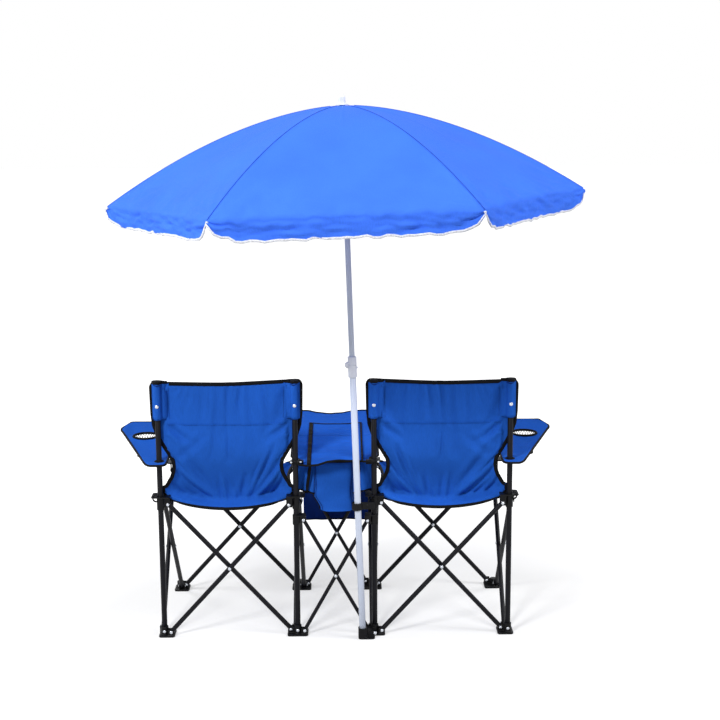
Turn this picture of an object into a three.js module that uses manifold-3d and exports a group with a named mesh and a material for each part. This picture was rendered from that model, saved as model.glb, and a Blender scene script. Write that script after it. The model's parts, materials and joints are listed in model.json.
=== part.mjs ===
// A folding double camping chair with a cooler table between the seats and a beach umbrella.
// Millimetres, +Z up, the front of the chairs towards +Y. It is drawn about the middle of the chairs.
// Four columns of tube stand in a row. Between them, front, back and sides, crossed bars make scissors.
import * as THREE from 'three';
import { mergeVertices } from 'three/addons/utils/BufferGeometryUtils.js';
import Module from 'manifold-3d';

const wasm = await Module();
wasm.setup();

// Driving dimensions of the frame
const seatBay = 460;            // post to post across one chair
const middleBay = 266;          // post to post across the cooler table
const footPivotHeight = 18;
const seatPivotHeight = 470;    // pivots of the seat hubs above the floor
const middlePivotDrop = 59;     // from those down to the pivots of the lower hubs beside the cooler
const crossPivotReach = 24;     // from a column's axis to the pivots of the front and rear bars
const sidePivotReach = 32;      // from a column's axis to the pivots of the side bars
const foldedSpan = 35;          // pivot to pivot across a bay when the frame is folded
const foldedBay = foldedSpan + 2 * crossPivotReach;
const postRise = 426;           // from the seat hubs' pivots to the tops of the rear posts
const outerArmTubeRise = 168;   // and to the tops of the arm tubes
const innerArmTubeRise = 202;
const middlePivotHeight = seatPivotHeight - middlePivotDrop;
const postTop = seatPivotHeight + postRise;
const outerArmTubeTop = seatPivotHeight + outerArmTubeRise;
const innerArmTubeTop = seatPivotHeight + innerArmTubeRise;

// Tubes and rivets
const postRadius = 9.5;
const seatBarRadius = 8;
const middleBarRadius = 6.5;
const tubeWall = 1.2;
const barEnd = 7;               // from an end pivot to the end of its bar
const crossGap = 1.5;           // between two crossed bars
const rivetRadius = 3;
const rivetHeadRadius = 5.2;
const rivetHeadHeight = 1.8;
const runningGap = 0.3;
const tubeSides = 12;
const barSides = 8;
const rivetSides = 6;
const overrun = 2;              // how far a cutter passes the face that it cuts
const weldTolerance = 1e-4;

// Moulded feet and hubs
const cheekThickness = 2.5;
const cheekGap = 0.5;           // between a bar and the cheek beside it
const cheekReach = 9;           // from a pivot to the edge of its cheeks
const footBaseHeight = 6;
const footMargin = 3;
const footReach = crossPivotReach + cheekReach + footMargin;
const foldedGap = 3;            // between the soles of two neighbouring columns when the frame is folded
const cheekSeat = 1;            // how far the cheeks are seated in their sleeve
const sleeveRadius = 13;
const hubHead = 30;             // from a seat hub's pivots to its top
const hubTop = seatPivotHeight + hubHead;
const flangeThickness = 5;
const flangeReach = 31;
const flangeRear = 16;
const middleHubHead = 21;       // from a middle hub's pivot to its top
const middleHubTail = 15;       // and to its foot
const middleHubTop = middlePivotHeight + middleHubHead;
const middleHubBottom = middlePivotHeight - middleHubTail;
const baseCorner = 9;

// Umbrella
const umbrellaLean = THREE.MathUtils.degToRad(1.8);
const poleRadius = 11;
const poleWall = 1.4;
const upperPoleRadius = 9.5;
const poleAside = 42;           // from the inner right post to the pole at the foot, towards the cooler
const poleBehind = 40;          // from the posts' plane to the pole
const poleFloorGap = 7;
const socketHeight = 38;
const socketWall = 3.6;
const socketGap = 0.8;
const knuckleRadius = 15;
const knuckleSplit = 957;       // height where the knuckle's halves meet
const knuckleTail = 41;
const knuckleHead = 28;
const lowerPoleInset = 19;      // from the split down to the lower pole's end
const upperPoleInset = 9;       // and up to the upper pole's end
const knuckleBottom = knuckleSplit - knuckleTail;
const knuckleTop = knuckleSplit + knuckleHead;
const lowerPoleTop = knuckleSplit - lowerPoleInset;
const upperPoleBottom = knuckleSplit + upperPoleInset;
const earAside = 15;            // from the pole's axis to the tilt pin
const earRadius = 10;
const earHalfWidth = 8;
const earGap = 8.6;
const earSides = 12;
const earPinRadius = 2.2;
const earPinHead = 3.8;
const latchDrop = 9;            // from the split down to the latch
const latchHeight = knuckleSplit - latchDrop;
const latchRadius = 3.6;
const latchInner = 9;
const latchTravel = 3;
const poleTop = 1808;
const canopyRadius = 770;
const apexInset = 6;            // from the pole's top down to the canopy
const canopyApex = poleTop - apexInset;
const canopyDrop = 292;         // from the apex to the ribs' tips
const canopyPanels = 6;
const domeShape = 1.75;         // exponent of the ribs' curve, 1 for a cone and 2 for a bowl
const panelSlackShare = 0.03;
const fabricThickness = 1.6;
const valanceDrop = 66;
const valanceCornerShare = 0.17;
const valanceNotchShare = 0.2;
const valanceFlareShare = 0.006;
const canopyColumns = 6;        // grid columns across one panel
const canopyRows = 9;
const canopyTopShare = 7 / 9;   // rows of the grid above the hem
const seamGap = 0.7;
const wireSeat = 2;             // how far a rib or strut is seated in its crown or runner
const ribSteps = 7;
const ribEndShare = 0.985;
const wireSides = 6;
const ribRadius = 2.4;
const stretcherRadius = 2;
const stretcherShare = 0.5;     // where a stretcher meets its rib, as a share of the canopy's radius
const runnerDrop = 382;         // from the canopy's apex down to the runner's foot
const runnerHeight = canopyApex - runnerDrop;
const runnerLength = 46;
const runnerRadius = 17;
const runnerFlange = 4;
const crownRadius = 21;
const crownInset = 3;
const crownTop = canopyApex - crownInset;
const crownHeight = 14;
const finialRadius = 11.5;
const finialHeight = 34;
const finialDisc = 3;
const finialDiscShare = 1.8;
const finialShoulderShare = 0.75;

// Clamp that holds the pole to the inner right seat hub
const clampTail = 12;           // from the seat hub's pivots down to the clamp's foot
const clampHeight = 26;
const clampBottom = seatPivotHeight - clampTail;
const clampTop = clampBottom + clampHeight;
const clampWall = 3.6;
const clampGap = 0.4;
const clampArmThickness = 7;
const clampBolt = 22;           // from the post's axis to the clamp's bolt

// Fabric of the chairs
const clothThickness = 2.4;
const clothAhead = 13;          // from the rear posts' plane forward to the back panel
const backCap = 9;              // from the posts' tops to the back's top edge
const backTop = postTop + backCap;
const backOverhang = 17;        // of the back's upper edge past the posts' axes
const waistCut = 40;            // from the posts' axes in to the waist
const backHalfWidth = seatBay / 2 + backOverhang;
const waistHalfWidth = seatBay / 2 - waistCut;
const waistDrop = 265;          // from the back's top edge to its waist
const waistHeight = backTop - waistDrop;
const seatClothColumns = 9;
const seatClothRows = 16;
const seatInset = 8;            // from the columns' axes in to the seat's edge
const seatHalfWidth = seatBay / 2 - seatInset;
const seatAboveHub = 4;
const seatLevel = hubTop + seatAboveHub;
const seatBend = 24;            // radius of the turn from the back panel into the seat
const rearSag = 34;
const middleSag = 52;
const frontSag = 26;
const sleeveLength = 130;
const sleeveBottom = backTop - sleeveLength;
const sleeveOuter = 13.6;
const sleeveInner = 10.3;
const frontEdgeBack = 16;       // from the front columns back to the seat's front edge

// Armrests
const armFall = 18;             // from the outer arm tubes' tops down to the armrests' rear
const armRear = outerArmTubeTop - armFall;
const armThickness = 5;
const armFrontOut = 190;
const armRearOut = 34;
const armInboard = 17;
const armRearOverhang = 45;
const armFrontOverhang = 12;
const armCorner = 24;
const armWidestBack = 96;       // from the arm's front edge back to its widest point
const cupOut = 86;
const cupForward = 84;
const cupRadius = 41;
const cupFloorRadius = 33;
const cupDepth = 70;
const cupWall = 1.6;
const cupSides = 12;

// Table and cooler
const tableMargin = 15;         // of the table past the columns' axes
const tableHalfWidth = middleBay / 2 + tableMargin;
const tableFall = 50;           // from the inner arm tubes' tops down to the table's rear
const tableRear = innerArmTubeTop - tableFall;
const tableThickness = 6;
const tableOverhang = 24;
const skirtLength = 397;        // from the inner arm tubes' tops down to the skirt's hem
const skirtBottom = innerArmTubeTop - skirtLength;
const skirtThickness = 4;
const skirtInset = 9;           // from the columns' axes in to the skirt's edge
const skirtHalfWidth = middleBay / 2 - skirtInset;
const lidHalfWidth = 84;
const lidRearInset = 6;
const lidFrontShare = 0.74;
const lidThickness = 6;
const bagDepth = 168;
const bagWall = 4;
const bagHalfWidth = 80;
const bagCorner = 22;

// Colours
const finishes = {
    blackSteel: { color: 0x17171b, roughness: 0.42, metalness: 0.55 },
    blackPlastic: { color: 0x141416, roughness: 0.6, metalness: 0 },
    whiteSteel: { color: 0xdfe3ee, roughness: 0.35, metalness: 0.1 },
    whitePlastic: { color: 0xe8eaf0, roughness: 0.45, metalness: 0 },
    brightSteel: { color: 0xb9bcc2, roughness: 0.3, metalness: 0.9 },
    seatCloth: { color: 0x1f56b5, roughness: 0.85, metalness: 0 },
    canopyCloth: { color: 0x4477ff, roughness: 0.7, metalness: 0 },
};

// The bars' lengths and angles follow from the pivots. The side bars match the chairs' bars,
// so that the front, rear and sides close together, and the depth follows from that.
const pivotRise = seatPivotHeight - footPivotHeight;
const middleRise = middlePivotHeight - footPivotHeight;
const seatSpan = seatBay - 2 * crossPivotReach;
const middleSpan = middleBay - 2 * crossPivotReach;
const frameDepth = seatSpan + 2 * sidePivotReach;
const rearY = -frameDepth / 2;
const frontY = frameDepth / 2;
const seatBarOffset = seatBarRadius + crossGap / 2;
const middleBarOffset = middleBarRadius + crossGap / 2;
const columns = [
    { name: 'outer_left', x: -middleBay / 2 - seatBay },
    { name: 'inner_left', x: -middleBay / 2 },
    { name: 'inner_right', x: middleBay / 2 },
    { name: 'outer_right', x: middleBay / 2 + seatBay },
];
const bays = [
    { name: 'left', left: 0, span: seatSpan, rise: pivotRise, radius: seatBarRadius, offset: seatBarOffset },
    { name: 'middle', left: 1, span: middleSpan, rise: middleRise, radius: middleBarRadius, offset: middleBarOffset },
    { name: 'right', left: 2, span: seatSpan, rise: pivotRise, radius: seatBarRadius, offset: seatBarOffset },
];

const loveseat = new THREE.Group();

// Solids and meshes

function solid(geometry) {
    const bare = geometry.clone();
    bare.deleteAttribute('normal');
    bare.deleteAttribute('uv');
    const merged = mergeVertices(bare, weldTolerance);
    return new wasm.Manifold(new wasm.Mesh({
        numProp: 3,
        vertProperties: new Float32Array(merged.attributes.position.array),
        triVerts: new Uint32Array(merged.index.array),
    }));
}

function geometryOf(manifold) {
    const mesh = manifold.getMesh();
    const geometry = new THREE.BufferGeometry();
    geometry.setAttribute('position', new THREE.BufferAttribute(new Float32Array(mesh.vertProperties), 3));
    geometry.setIndex(new THREE.BufferAttribute(new Uint32Array(mesh.triVerts), 1));
    geometry.computeVertexNormals();
    return geometry;
}

function joined(pieces) {
    return pieces.map(solid).reduce((sum, piece) => sum.add(piece));
}

function carved(pieces, cutters = []) {
    const cut = cutters.map(solid).reduce((left, cutter) => left.subtract(cutter), joined(pieces));
    return geometryOf(cut);
}

// A cloth of even thickness. point(u, v) gives its middle surface, for u and v from 0 to 1,
// and a cloth that wraps closes on itself across u.
function cloth(point, across, along, thickness, wraps = false) {
    const probe = 1e-3;
    const ring = wraps ? across : across + 1;
    const at = (u, v) => new THREE.Vector3(...point(u, v));
    const span = (low, high, open) => (open ? [low, high] : [Math.max(low, 0), Math.min(high, 1)]);
    const positions = [];
    for (const side of [1, -1]) {
        for (let j = 0; j <= along; j++) {
            for (let i = 0; i < ring; i++) {
                const u = i / across;
                const v = j / along;
                const [u0, u1] = span(u - probe, u + probe, wraps);
                const [v0, v1] = span(v - probe, v + probe, false);
                const du = at(u1, v).sub(at(u0, v));
                const dv = at(u, v1).sub(at(u, v0));
                const normal = du.cross(dv).normalize();
                positions.push(...at(u, v).addScaledVector(normal, side * thickness / 2).toArray());
            }
        }
    }
    const layer = ring * (along + 1);
    const top = (i, j) => j * ring + i % ring;
    const under = (i, j) => layer + top(i, j);
    const index = [];
    const quad = (a, b, c, d) => index.push(a, b, c, a, c, d);
    for (let i = 0; i < across; i++) {
        for (let j = 0; j < along; j++) {
            quad(top(i, j), top(i + 1, j), top(i + 1, j + 1), top(i, j + 1));
            quad(under(i, j), under(i, j + 1), under(i + 1, j + 1), under(i + 1, j));
        }
        quad(top(i, 0), under(i, 0), under(i + 1, 0), top(i + 1, 0));
        quad(top(i, along), top(i + 1, along), under(i + 1, along), under(i, along));
    }
    if (!wraps) {
        for (let j = 0; j < along; j++) {
            quad(top(0, j), top(0, j + 1), under(0, j + 1), under(0, j));
            quad(top(across, j), under(across, j), under(across, j + 1), top(across, j + 1));
        }
    }
    const geometry = new THREE.BufferGeometry();
    geometry.setAttribute('position', new THREE.Float32BufferAttribute(positions, 3));
    geometry.setIndex(index);
    return geometry;
}

function place(name, geometry, finish, parent = loveseat) {
    const mesh = new THREE.Mesh(geometry, new THREE.MeshStandardMaterial(finishes[finish]));
    mesh.name = name;
    parent.add(mesh);
    return mesh;
}

function block(x0, x1, y0, y1, z0, z1) {
    const geometry = new THREE.BoxGeometry(Math.abs(x1 - x0), Math.abs(y1 - y0), Math.abs(z1 - z0));
    return geometry.translate((x0 + x1) / 2, (y0 + y1) / 2, (z0 + z1) / 2);
}

// A round rod between two points, or a cone where the second radius differs.
function rod(from, to, radius, sides = tubeSides, endRadius = radius) {
    const a = new THREE.Vector3(...from);
    const b = new THREE.Vector3(...to);
    const along = b.clone().sub(a);
    const geometry = new THREE.CylinderGeometry(endRadius, radius, along.length(), sides);
    const turn = new THREE.Quaternion().setFromUnitVectors(new THREE.Vector3(0, 1, 0), along.normalize());
    return geometry.applyQuaternion(turn).translate(...a.add(b).multiplyScalar(0.5).toArray());
}

// A tube standing on z0, as a ring that is extruded upwards.
function tube(radius, wall, z0, z1, sides = tubeSides) {
    const ring = new THREE.Shape().absarc(0, 0, radius, 0, 2 * Math.PI);
    ring.holes.push(new THREE.Path().absarc(0, 0, radius - wall, 0, 2 * Math.PI, true));
    const geometry = new THREE.ExtrudeGeometry(ring, {
        depth: z1 - z0, bevelEnabled: false, curveSegments: sides / 2,
    });
    return geometry.translate(0, 0, z0);
}

// An upright plate with a rounded outline, extruded from z0 to z1.
function roundedPlate(x0, x1, y0, y1, z0, z1, corner, sides = 2) {
    const shape = new THREE.Shape();
    shape.absarc(x1 - corner, y1 - corner, corner, 0, Math.PI / 2);
    shape.absarc(x0 + corner, y1 - corner, corner, Math.PI / 2, Math.PI);
    shape.absarc(x0 + corner, y0 + corner, corner, Math.PI, 1.5 * Math.PI);
    shape.absarc(x1 - corner, y0 + corner, corner, 1.5 * Math.PI, 2 * Math.PI);
    const geometry = new THREE.ExtrudeGeometry(shape, {
        depth: z1 - z0, bevelEnabled: false, curveSegments: sides,
    });
    return geometry.translate(0, 0, z0);
}

// Crossed bars. A bar lies along its own +Z from its lower pivot, with its rivets along its own Y.
// The bar that carries the centre rivet passes it through the other bar.

function barGeometry(length, radius, offset, carriesRivet) {
    const body = rod([0, 0, -barEnd], [0, 0, length + barEnd], radius, barSides);
    const holeRadius = (rivetRadius + runningGap) / Math.cos(Math.PI / rivetSides);
    const holeAt = (z) => rod([0, -radius - overrun, z], [0, radius + overrun, z], holeRadius, rivetSides);
    const holes = [holeAt(0), holeAt(length)];
    const centre = length / 2;
    if (!carriesRivet) return carved([body], [...holes, holeAt(centre)]);
    const farFace = 2 * offset + radius + runningGap;
    const pin = (y0, y1, thick) => rod([0, y0, centre], [0, y1, centre], thick, rivetSides);
    const rivet = [
        pin(-radius - rivetHeadHeight / 2, farFace + rivetHeadHeight / 2, rivetRadius),
        pin(-radius - rivetHeadHeight, -radius + rivetHeadHeight, rivetHeadRadius),
        pin(radius - rivetHeadHeight, 2 * offset - radius - runningGap, rivetHeadRadius),
        pin(farFace, farFace + rivetHeadHeight, rivetHeadRadius),
    ];
    return geometryOf(solid(carved([body], holes)).add(joined(rivet)));
}

function placeBar(name, geometry, lower, direction, rivetAxis) {
    const mesh = place(name, geometry, 'blackSteel');
    const x = new THREE.Vector3().crossVectors(rivetAxis, direction);
    mesh.quaternion.setFromRotationMatrix(new THREE.Matrix4().makeBasis(x, rivetAxis, direction));
    mesh.position.set(...lower);
    return mesh;
}

const alongX = new THREE.Vector3(1, 0, 0);
const alongY = new THREE.Vector3(0, 1, 0);

for (const bay of bays) {
    const leftX = columns[bay.left].x + crossPivotReach;
    const rightX = columns[bay.left + 1].x - crossPivotReach;
    const length = Math.hypot(bay.span, bay.rise);
    const riveted = barGeometry(length, bay.radius, bay.offset, true);
    const plain = barGeometry(length, bay.radius, bay.offset, false);
    for (const [end, y] of [['rear', rearY], ['front', frontY]]) {
        const up = bay.rise / length;
        const across = bay.span / length;
        placeBar(`${end}_bar_${bay.name}_rising_right`, riveted,
            [leftX, y - bay.offset, footPivotHeight], new THREE.Vector3(across, 0, up), alongY);
        placeBar(`${end}_bar_${bay.name}_rising_left`, plain,
            [rightX, y + bay.offset, footPivotHeight], new THREE.Vector3(-across, 0, up), alongY);
    }
}

const sideLength = Math.hypot(seatSpan, pivotRise);
const sideRiveted = barGeometry(sideLength, seatBarRadius, seatBarOffset, true);
const sidePlain = barGeometry(sideLength, seatBarRadius, seatBarOffset, false);
for (const column of columns) {
    const up = pivotRise / sideLength;
    const across = seatSpan / sideLength;
    placeBar(`side_bar_${column.name}_rising_front`, sideRiveted,
        [column.x - seatBarOffset, rearY + sidePivotReach, footPivotHeight],
        new THREE.Vector3(0, across, up), alongX);
    placeBar(`side_bar_${column.name}_rising_rear`, sidePlain,
        [column.x + seatBarOffset, frontY - sidePivotReach, footPivotHeight],
        new THREE.Vector3(0, -across, up), alongX);
}

// Forked ears of the feet and hubs. One pair of cheeks holds the end of one bar, with a rivet across.
// turn is the quarter turn that carries the cheeks from the +X side of the column to another side.

function cheekShape(reach, start, pivotZ, closedZ, opening) {
    const shape = new THREE.Shape();
    const edge = reach + cheekReach;
    shape.moveTo(start, closedZ);
    shape.lineTo(edge, closedZ);
    const quarter = opening * Math.PI / 2;
    shape.absarc(reach, pivotZ, cheekReach, 0, quarter, opening < 0);
    shape.lineTo(start, pivotZ + opening * cheekReach);
    shape.closePath();
    return shape;
}

// Cheeks for a bar at side offset `aside` of the column, with pivots `reach` away from its axis.
// They grow from closedZ and their rounded ends point up on a foot and down on a hub.
function cheeks({ reach, start, aside, radius, pivotZ, closedZ, turn }) {
    const opening = Math.sign(pivotZ - closedZ);
    const half = radius + cheekGap;
    const plate = (inner) => {
        const geometry = new THREE.ExtrudeGeometry(cheekShape(reach, start, pivotZ, closedZ, opening), {
            depth: cheekThickness, bevelEnabled: false, curveSegments: 2,
        });
        return geometry.rotateX(Math.PI / 2).translate(0, inner + cheekThickness, 0);
    };
    const outer = half + cheekThickness;
    const pin = rod([reach, aside - outer - rivetHeadHeight / 2, pivotZ],
        [reach, aside + outer + rivetHeadHeight / 2, pivotZ], rivetRadius, rivetSides);
    const head = (side) => rod([reach, aside + side * outer, pivotZ],
        [reach, aside + side * (outer + rivetHeadHeight), pivotZ], rivetHeadRadius, rivetSides);
    return [plate(aside + half), plate(aside - outer), pin, head(1), head(-1)]
        .map((piece) => piece.rotateZ(turn));
}

const towards = { right: 0, front: Math.PI / 2, left: Math.PI, rear: -Math.PI / 2 };

// Which bars end at a column, low at its feet and high at its hubs.
// A bar that rises right has its foot on the left column and lies to the rear of the plane.
function crossEnds(index, atFoot) {
    const ends = [];
    for (const bay of bays) {
        const isLeft = bay.left === index;
        const isRight = bay.left + 1 === index;
        if (!isLeft && !isRight) continue;
        const offset = (isLeft === atFoot ? -1 : 1) * bay.offset;
        ends.push({
            side: isLeft ? 'right' : 'left',
            middle: bay.name === 'middle',
            radius: bay.radius,
            aside: isLeft ? offset : -offset,
        });
    }
    return ends;
}

const crossStart = sleeveRadius - cheekSeat;
const sideStart = seatBarOffset + seatBarRadius + cheekGap;

function crossCheeks(end, pivotZ, closedZ) {
    return cheeks({
        reach: crossPivotReach, start: crossStart, aside: end.aside, radius: end.radius,
        pivotZ, closedZ, turn: towards[end.side],
    });
}

// The side bar at a column's foot or hub, front or rear, keeps to its own side of the column.
function sideCheeks(front, atFoot, pivotZ, closedZ) {
    const onLeft = front !== atFoot;
    const aside = (onLeft ? 1 : -1) * seatBarOffset * (front ? -1 : 1);
    return cheeks({
        reach: sidePivotReach, start: sideStart, aside, radius: seatBarRadius,
        pivotZ, closedZ, turn: front ? towards.rear : towards.front,
    });
}

// Feet

function footBase(front, ends) {
    const right = ends.some((end) => end.side === 'right') ? footReach : sleeveRadius + 2 * footMargin;
    const left = ends.some((end) => end.side === 'left') ? footReach : sleeveRadius + 2 * footMargin;
    const cheekEdge = seatBarOffset + seatBarRadius + cheekGap + cheekThickness;
    const near = cheekEdge + footMargin;
    const far = sidePivotReach + cheekReach + footMargin;
    const [y0, y1] = front ? [-far, near] : [-near, far];
    return roundedPlate(-left, right, y0, y1, 0, footBaseHeight, baseCorner);
}

function footPieces(index, front) {
    const ends = crossEnds(index, true);
    const boss = rod([0, 0, 0], [0, 0, footPivotHeight + cheekReach], sleeveRadius);
    const rim = front ? [] : [rod([0, 0, 0], [0, 0, footPivotHeight + 2 * cheekReach], sleeveRadius)];
    return [
        footBase(front, ends), boss, ...rim,
        ...ends.flatMap((end) => crossCheeks(end, footPivotHeight, 0)),
        ...sideCheeks(front, true, footPivotHeight, 0),
    ];
}

const postBore = (radius, z0, z1) => rod([0, 0, z0], [0, 0, z1], radius);
const poleX = (z) => -poleAside - Math.tan(umbrellaLean) * (z - footPivotHeight);

// The foot under the inner right post also holds the umbrella's pole in a leaning socket.
// Its sole keeps clear of the inner left foot, which comes close beside it when the frame folds.
function umbrellaSocket() {
    const radius = poleRadius + socketGap + socketWall;
    const cup = roundedPlate(-poleAside - radius, -poleAside + radius,
        -poleBehind - radius, -poleBehind + radius, 0, socketHeight, baseCorner);
    const web = block(-poleAside + radius / 2, 0, -poleBehind - footMargin, 0, 0, footPivotHeight + footBaseHeight);
    const soleReach = foldedBay - footReach - foldedGap;
    const sole = roundedPlate(-soleReach, 0, -poleBehind - radius, 0, 0, footBaseHeight, baseCorner);
    return [cup, web, sole];
}

function socketBore() {
    const top = socketHeight + overrun;
    return rod([poleX(footBaseHeight), -poleBehind, footBaseHeight], [poleX(top), -poleBehind, top],
        poleRadius + socketGap);
}

const umbrellaColumn = 2;

columns.forEach((column, index) => {
    const holdsPole = index === umbrellaColumn;
    const bore = postBore(postRadius + runningGap, footBaseHeight, postTop);
    const rear = carved(
        [...footPieces(index, false), ...(holdsPole ? umbrellaSocket() : [])],
        [bore, ...(holdsPole ? [socketBore()] : [])],
    );
    place(`rear_foot_${column.name}`, rear, 'blackPlastic').position.set(column.x, rearY, 0);
    const front = carved(footPieces(index, true));
    place(`front_foot_${column.name}`, front, 'blackPlastic').position.set(column.x, frontY, 0);
    const post = tube(postRadius, tubeWall, footBaseHeight + runningGap, postTop);
    place(`rear_post_${column.name}`, post, 'blackSteel').position.set(column.x, rearY, 0);
});

// Hubs

function seatHubPieces(index, front) {
    const end = crossEnds(index, false).find((one) => !one.middle);
    const flangeFar = sidePivotReach + cheekReach + footMargin;
    const cheekEdge = seatBarOffset + seatBarRadius + cheekGap + cheekThickness;
    const near = Math.max(flangeRear, end.aside * (end.side === 'right' ? 1 : -1) * (front ? 1 : -1) > 0
        ? cheekEdge : 0);
    const [y0, y1] = front ? [-flangeFar, near] : [-near, flangeFar];
    const flangeBottom = hubTop - flangeThickness;
    const sleeveFoot = seatPivotHeight - 2 * cheekReach;
    return [
        roundedPlate(-flangeReach, flangeReach, y0, y1, flangeBottom, hubTop, baseCorner),
        block(Math.min(0, towardsSign(end.side) * (crossPivotReach + cheekReach)),
            Math.max(0, towardsSign(end.side) * (crossPivotReach + cheekReach)),
            -cheekEdge, cheekEdge, flangeBottom, hubTop),
        rod([0, 0, sleeveFoot], [0, 0, hubTop], sleeveRadius),
        ...crossCheeks(end, seatPivotHeight, hubTop),
        ...sideCheeks(front, false, seatPivotHeight, hubTop),
    ];
}

function towardsSign(side) {
    return side === 'right' ? 1 : -1;
}

function middleHubPieces(index) {
    const end = crossEnds(index, false).find((one) => one.middle);
    const reach = crossPivotReach + cheekReach;
    const halfDepth = middleBarOffset + middleBarRadius + cheekGap + cheekThickness;
    const side = towardsSign(end.side);
    return [
        rod([0, 0, middleHubBottom], [0, 0, middleHubTop], sleeveRadius),
        block(Math.min(0, side * reach), Math.max(0, side * reach), -halfDepth, halfDepth,
            middleHubTop - flangeThickness, middleHubTop),
        ...crossCheeks(end, middlePivotHeight, middleHubTop),
    ];
}

columns.forEach((column, index) => {
    const outer = index === 0 || index === columns.length - 1;
    const slideBore = postBore(postRadius + runningGap, 0, postTop);
    const armBore = postBore(postRadius - tubeWall, 0, postTop);
    place(`rear_seat_hub_${column.name}`, carved(seatHubPieces(index, false), [slideBore]), 'blackPlastic')
        .position.set(column.x, rearY, 0);
    const armTube = (z0, z1) => postBore(postRadius, z0, z1);
    if (outer) {
        const pieces = [...seatHubPieces(index, true), armTube(seatPivotHeight, outerArmTubeTop)];
        place(`front_hub_and_arm_tube_${column.name}`, carved(pieces, [armBore]), 'blackPlastic')
            .position.set(column.x, frontY, 0);
        return;
    }
    place(`front_seat_hub_${column.name}`, carved(seatHubPieces(index, true), [slideBore]), 'blackPlastic')
        .position.set(column.x, frontY, 0);
    place(`rear_middle_hub_${column.name}`, carved(middleHubPieces(index), [slideBore]), 'blackPlastic')
        .position.set(column.x, rearY, 0);
    const middle = [...middleHubPieces(index), armTube(middleHubBottom, innerArmTubeTop)];
    place(`middle_hub_and_arm_tube_${column.name}`, carved(middle, [armBore]), 'blackPlastic')
        .position.set(column.x, frontY, 0);
});

// Umbrella, upright about its own pole, with heights above the foot's pivot. The group then leans.

const umbrella = new THREE.Group();
umbrella.position.set(columns[umbrellaColumn].x - poleAside, rearY - poleBehind, footPivotHeight);
umbrella.rotation.y = -umbrellaLean;
loveseat.add(umbrella);
const up = (height) => height - footPivotHeight;
const upright = (radius, z0, z1, sides = tubeSides) => rod([0, 0, up(z0)], [0, 0, up(z1)], radius, sides);
const crossing = (radius, x, z, y0, y1, sides = tubeSides) => rod([x, y0, up(z)], [x, y1, up(z)], radius, sides);

const lowerPole = tube(poleRadius, poleWall, up(poleFloorGap), up(lowerPoleTop));
place('lower_pole', lowerPole, 'whiteSteel', umbrella);
const upperPole = tube(upperPoleRadius, poleWall, up(upperPoleBottom), up(poleTop));
place('upper_pole', upperPole, 'whiteSteel', umbrella);

// The knuckle's two halves meet on a flat face. Their ears share a pin beside the pole,
// two on the lower half with one of the upper half between them.
function knuckleHalves() {
    const pivot = knuckleSplit;
    const ear = (radius, y0, y1) => crossing(radius, -earAside, pivot, y0, y1, earSides);
    const clear = (earRadius + runningGap) / Math.cos(Math.PI / earSides);
    const innerHalf = earGap / 2;
    const slot = (side) => [side * (innerHalf - runningGap), side * (earHalfWidth + overrun)];
    const lower = carved([
        upright(knuckleRadius, knuckleBottom, pivot - runningGap / 2),
        ear(earRadius, -earHalfWidth, earHalfWidth),
    ], [
        upright(poleRadius + runningGap, knuckleBottom - overrun, lowerPoleTop + runningGap),
        upright(upperPoleRadius - poleWall, lowerPoleTop, pivot + overrun),
        ear(clear, -innerHalf, innerHalf),
        rod([latchInner, 0, up(latchHeight)], [knuckleRadius + overrun, 0, up(latchHeight)],
            latchRadius + runningGap),
    ]);
    const pin = [
        ear(earPinRadius, -earHalfWidth - rivetHeadHeight, earHalfWidth + rivetHeadHeight),
        ear(earPinHead, -earHalfWidth - rivetHeadHeight, -earHalfWidth),
        ear(earPinHead, earHalfWidth, earHalfWidth + rivetHeadHeight),
    ];
    const upper = carved([
        upright(knuckleRadius, pivot + runningGap / 2, knuckleTop),
        ear(earRadius, -innerHalf + runningGap, innerHalf - runningGap),
    ], [
        upright(upperPoleRadius + runningGap, upperPoleBottom - runningGap, knuckleTop + overrun),
        upright(upperPoleRadius - poleWall, pivot, upperPoleBottom),
        ear(clear, ...slot(1)),
        ear(clear, ...slot(-1)),
        ear(earPinRadius + runningGap, -earHalfWidth, earHalfWidth),
    ]);
    return { lower: geometryOf(solid(lower).add(joined(pin))), upper };
}

const knuckle = knuckleHalves();
place('knuckle_base', knuckle.lower, 'whitePlastic', umbrella);
place('knuckle_top', knuckle.upper, 'whitePlastic', umbrella);
const latch = rod([latchInner + latchTravel + runningGap, 0, up(latchHeight)],
    [knuckleRadius + latchTravel, 0, up(latchHeight)], latchRadius);
place('knuckle_latch', latch, 'whitePlastic', umbrella);

// Canopy. A point of it has a share s of the way down a rib and a turn in panels about the pole.
const ribTurn = 2 * Math.PI / canopyPanels;
const domeHeight = (s) => canopyApex - canopyDrop * s ** domeShape;

function canopyPoint(turn, s) {
    const panel = Math.floor(turn);
    const t = turn - panel;
    const from = panel * ribTurn;
    const a = [Math.cos(from), Math.sin(from)];
    const b = [Math.cos(from + ribTurn), Math.sin(from + ribTurn)];
    const draw = 1 - panelSlackShare * Math.sin(Math.PI * t) * s;
    const radius = s * canopyRadius * draw;
    return [radius * (a[0] + t * (b[0] - a[0])), radius * (a[1] + t * (b[1] - a[1])), up(domeHeight(s))];
}

function valanceDepth(t) {
    const fromRib = Math.min(t, 1 - t) / valanceCornerShare;
    const rounded = fromRib >= 1 ? 1 : Math.sqrt(1 - (1 - fromRib) ** 2);
    return valanceDrop * (valanceNotchShare + (1 - valanceNotchShare) * rounded);
}

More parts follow.
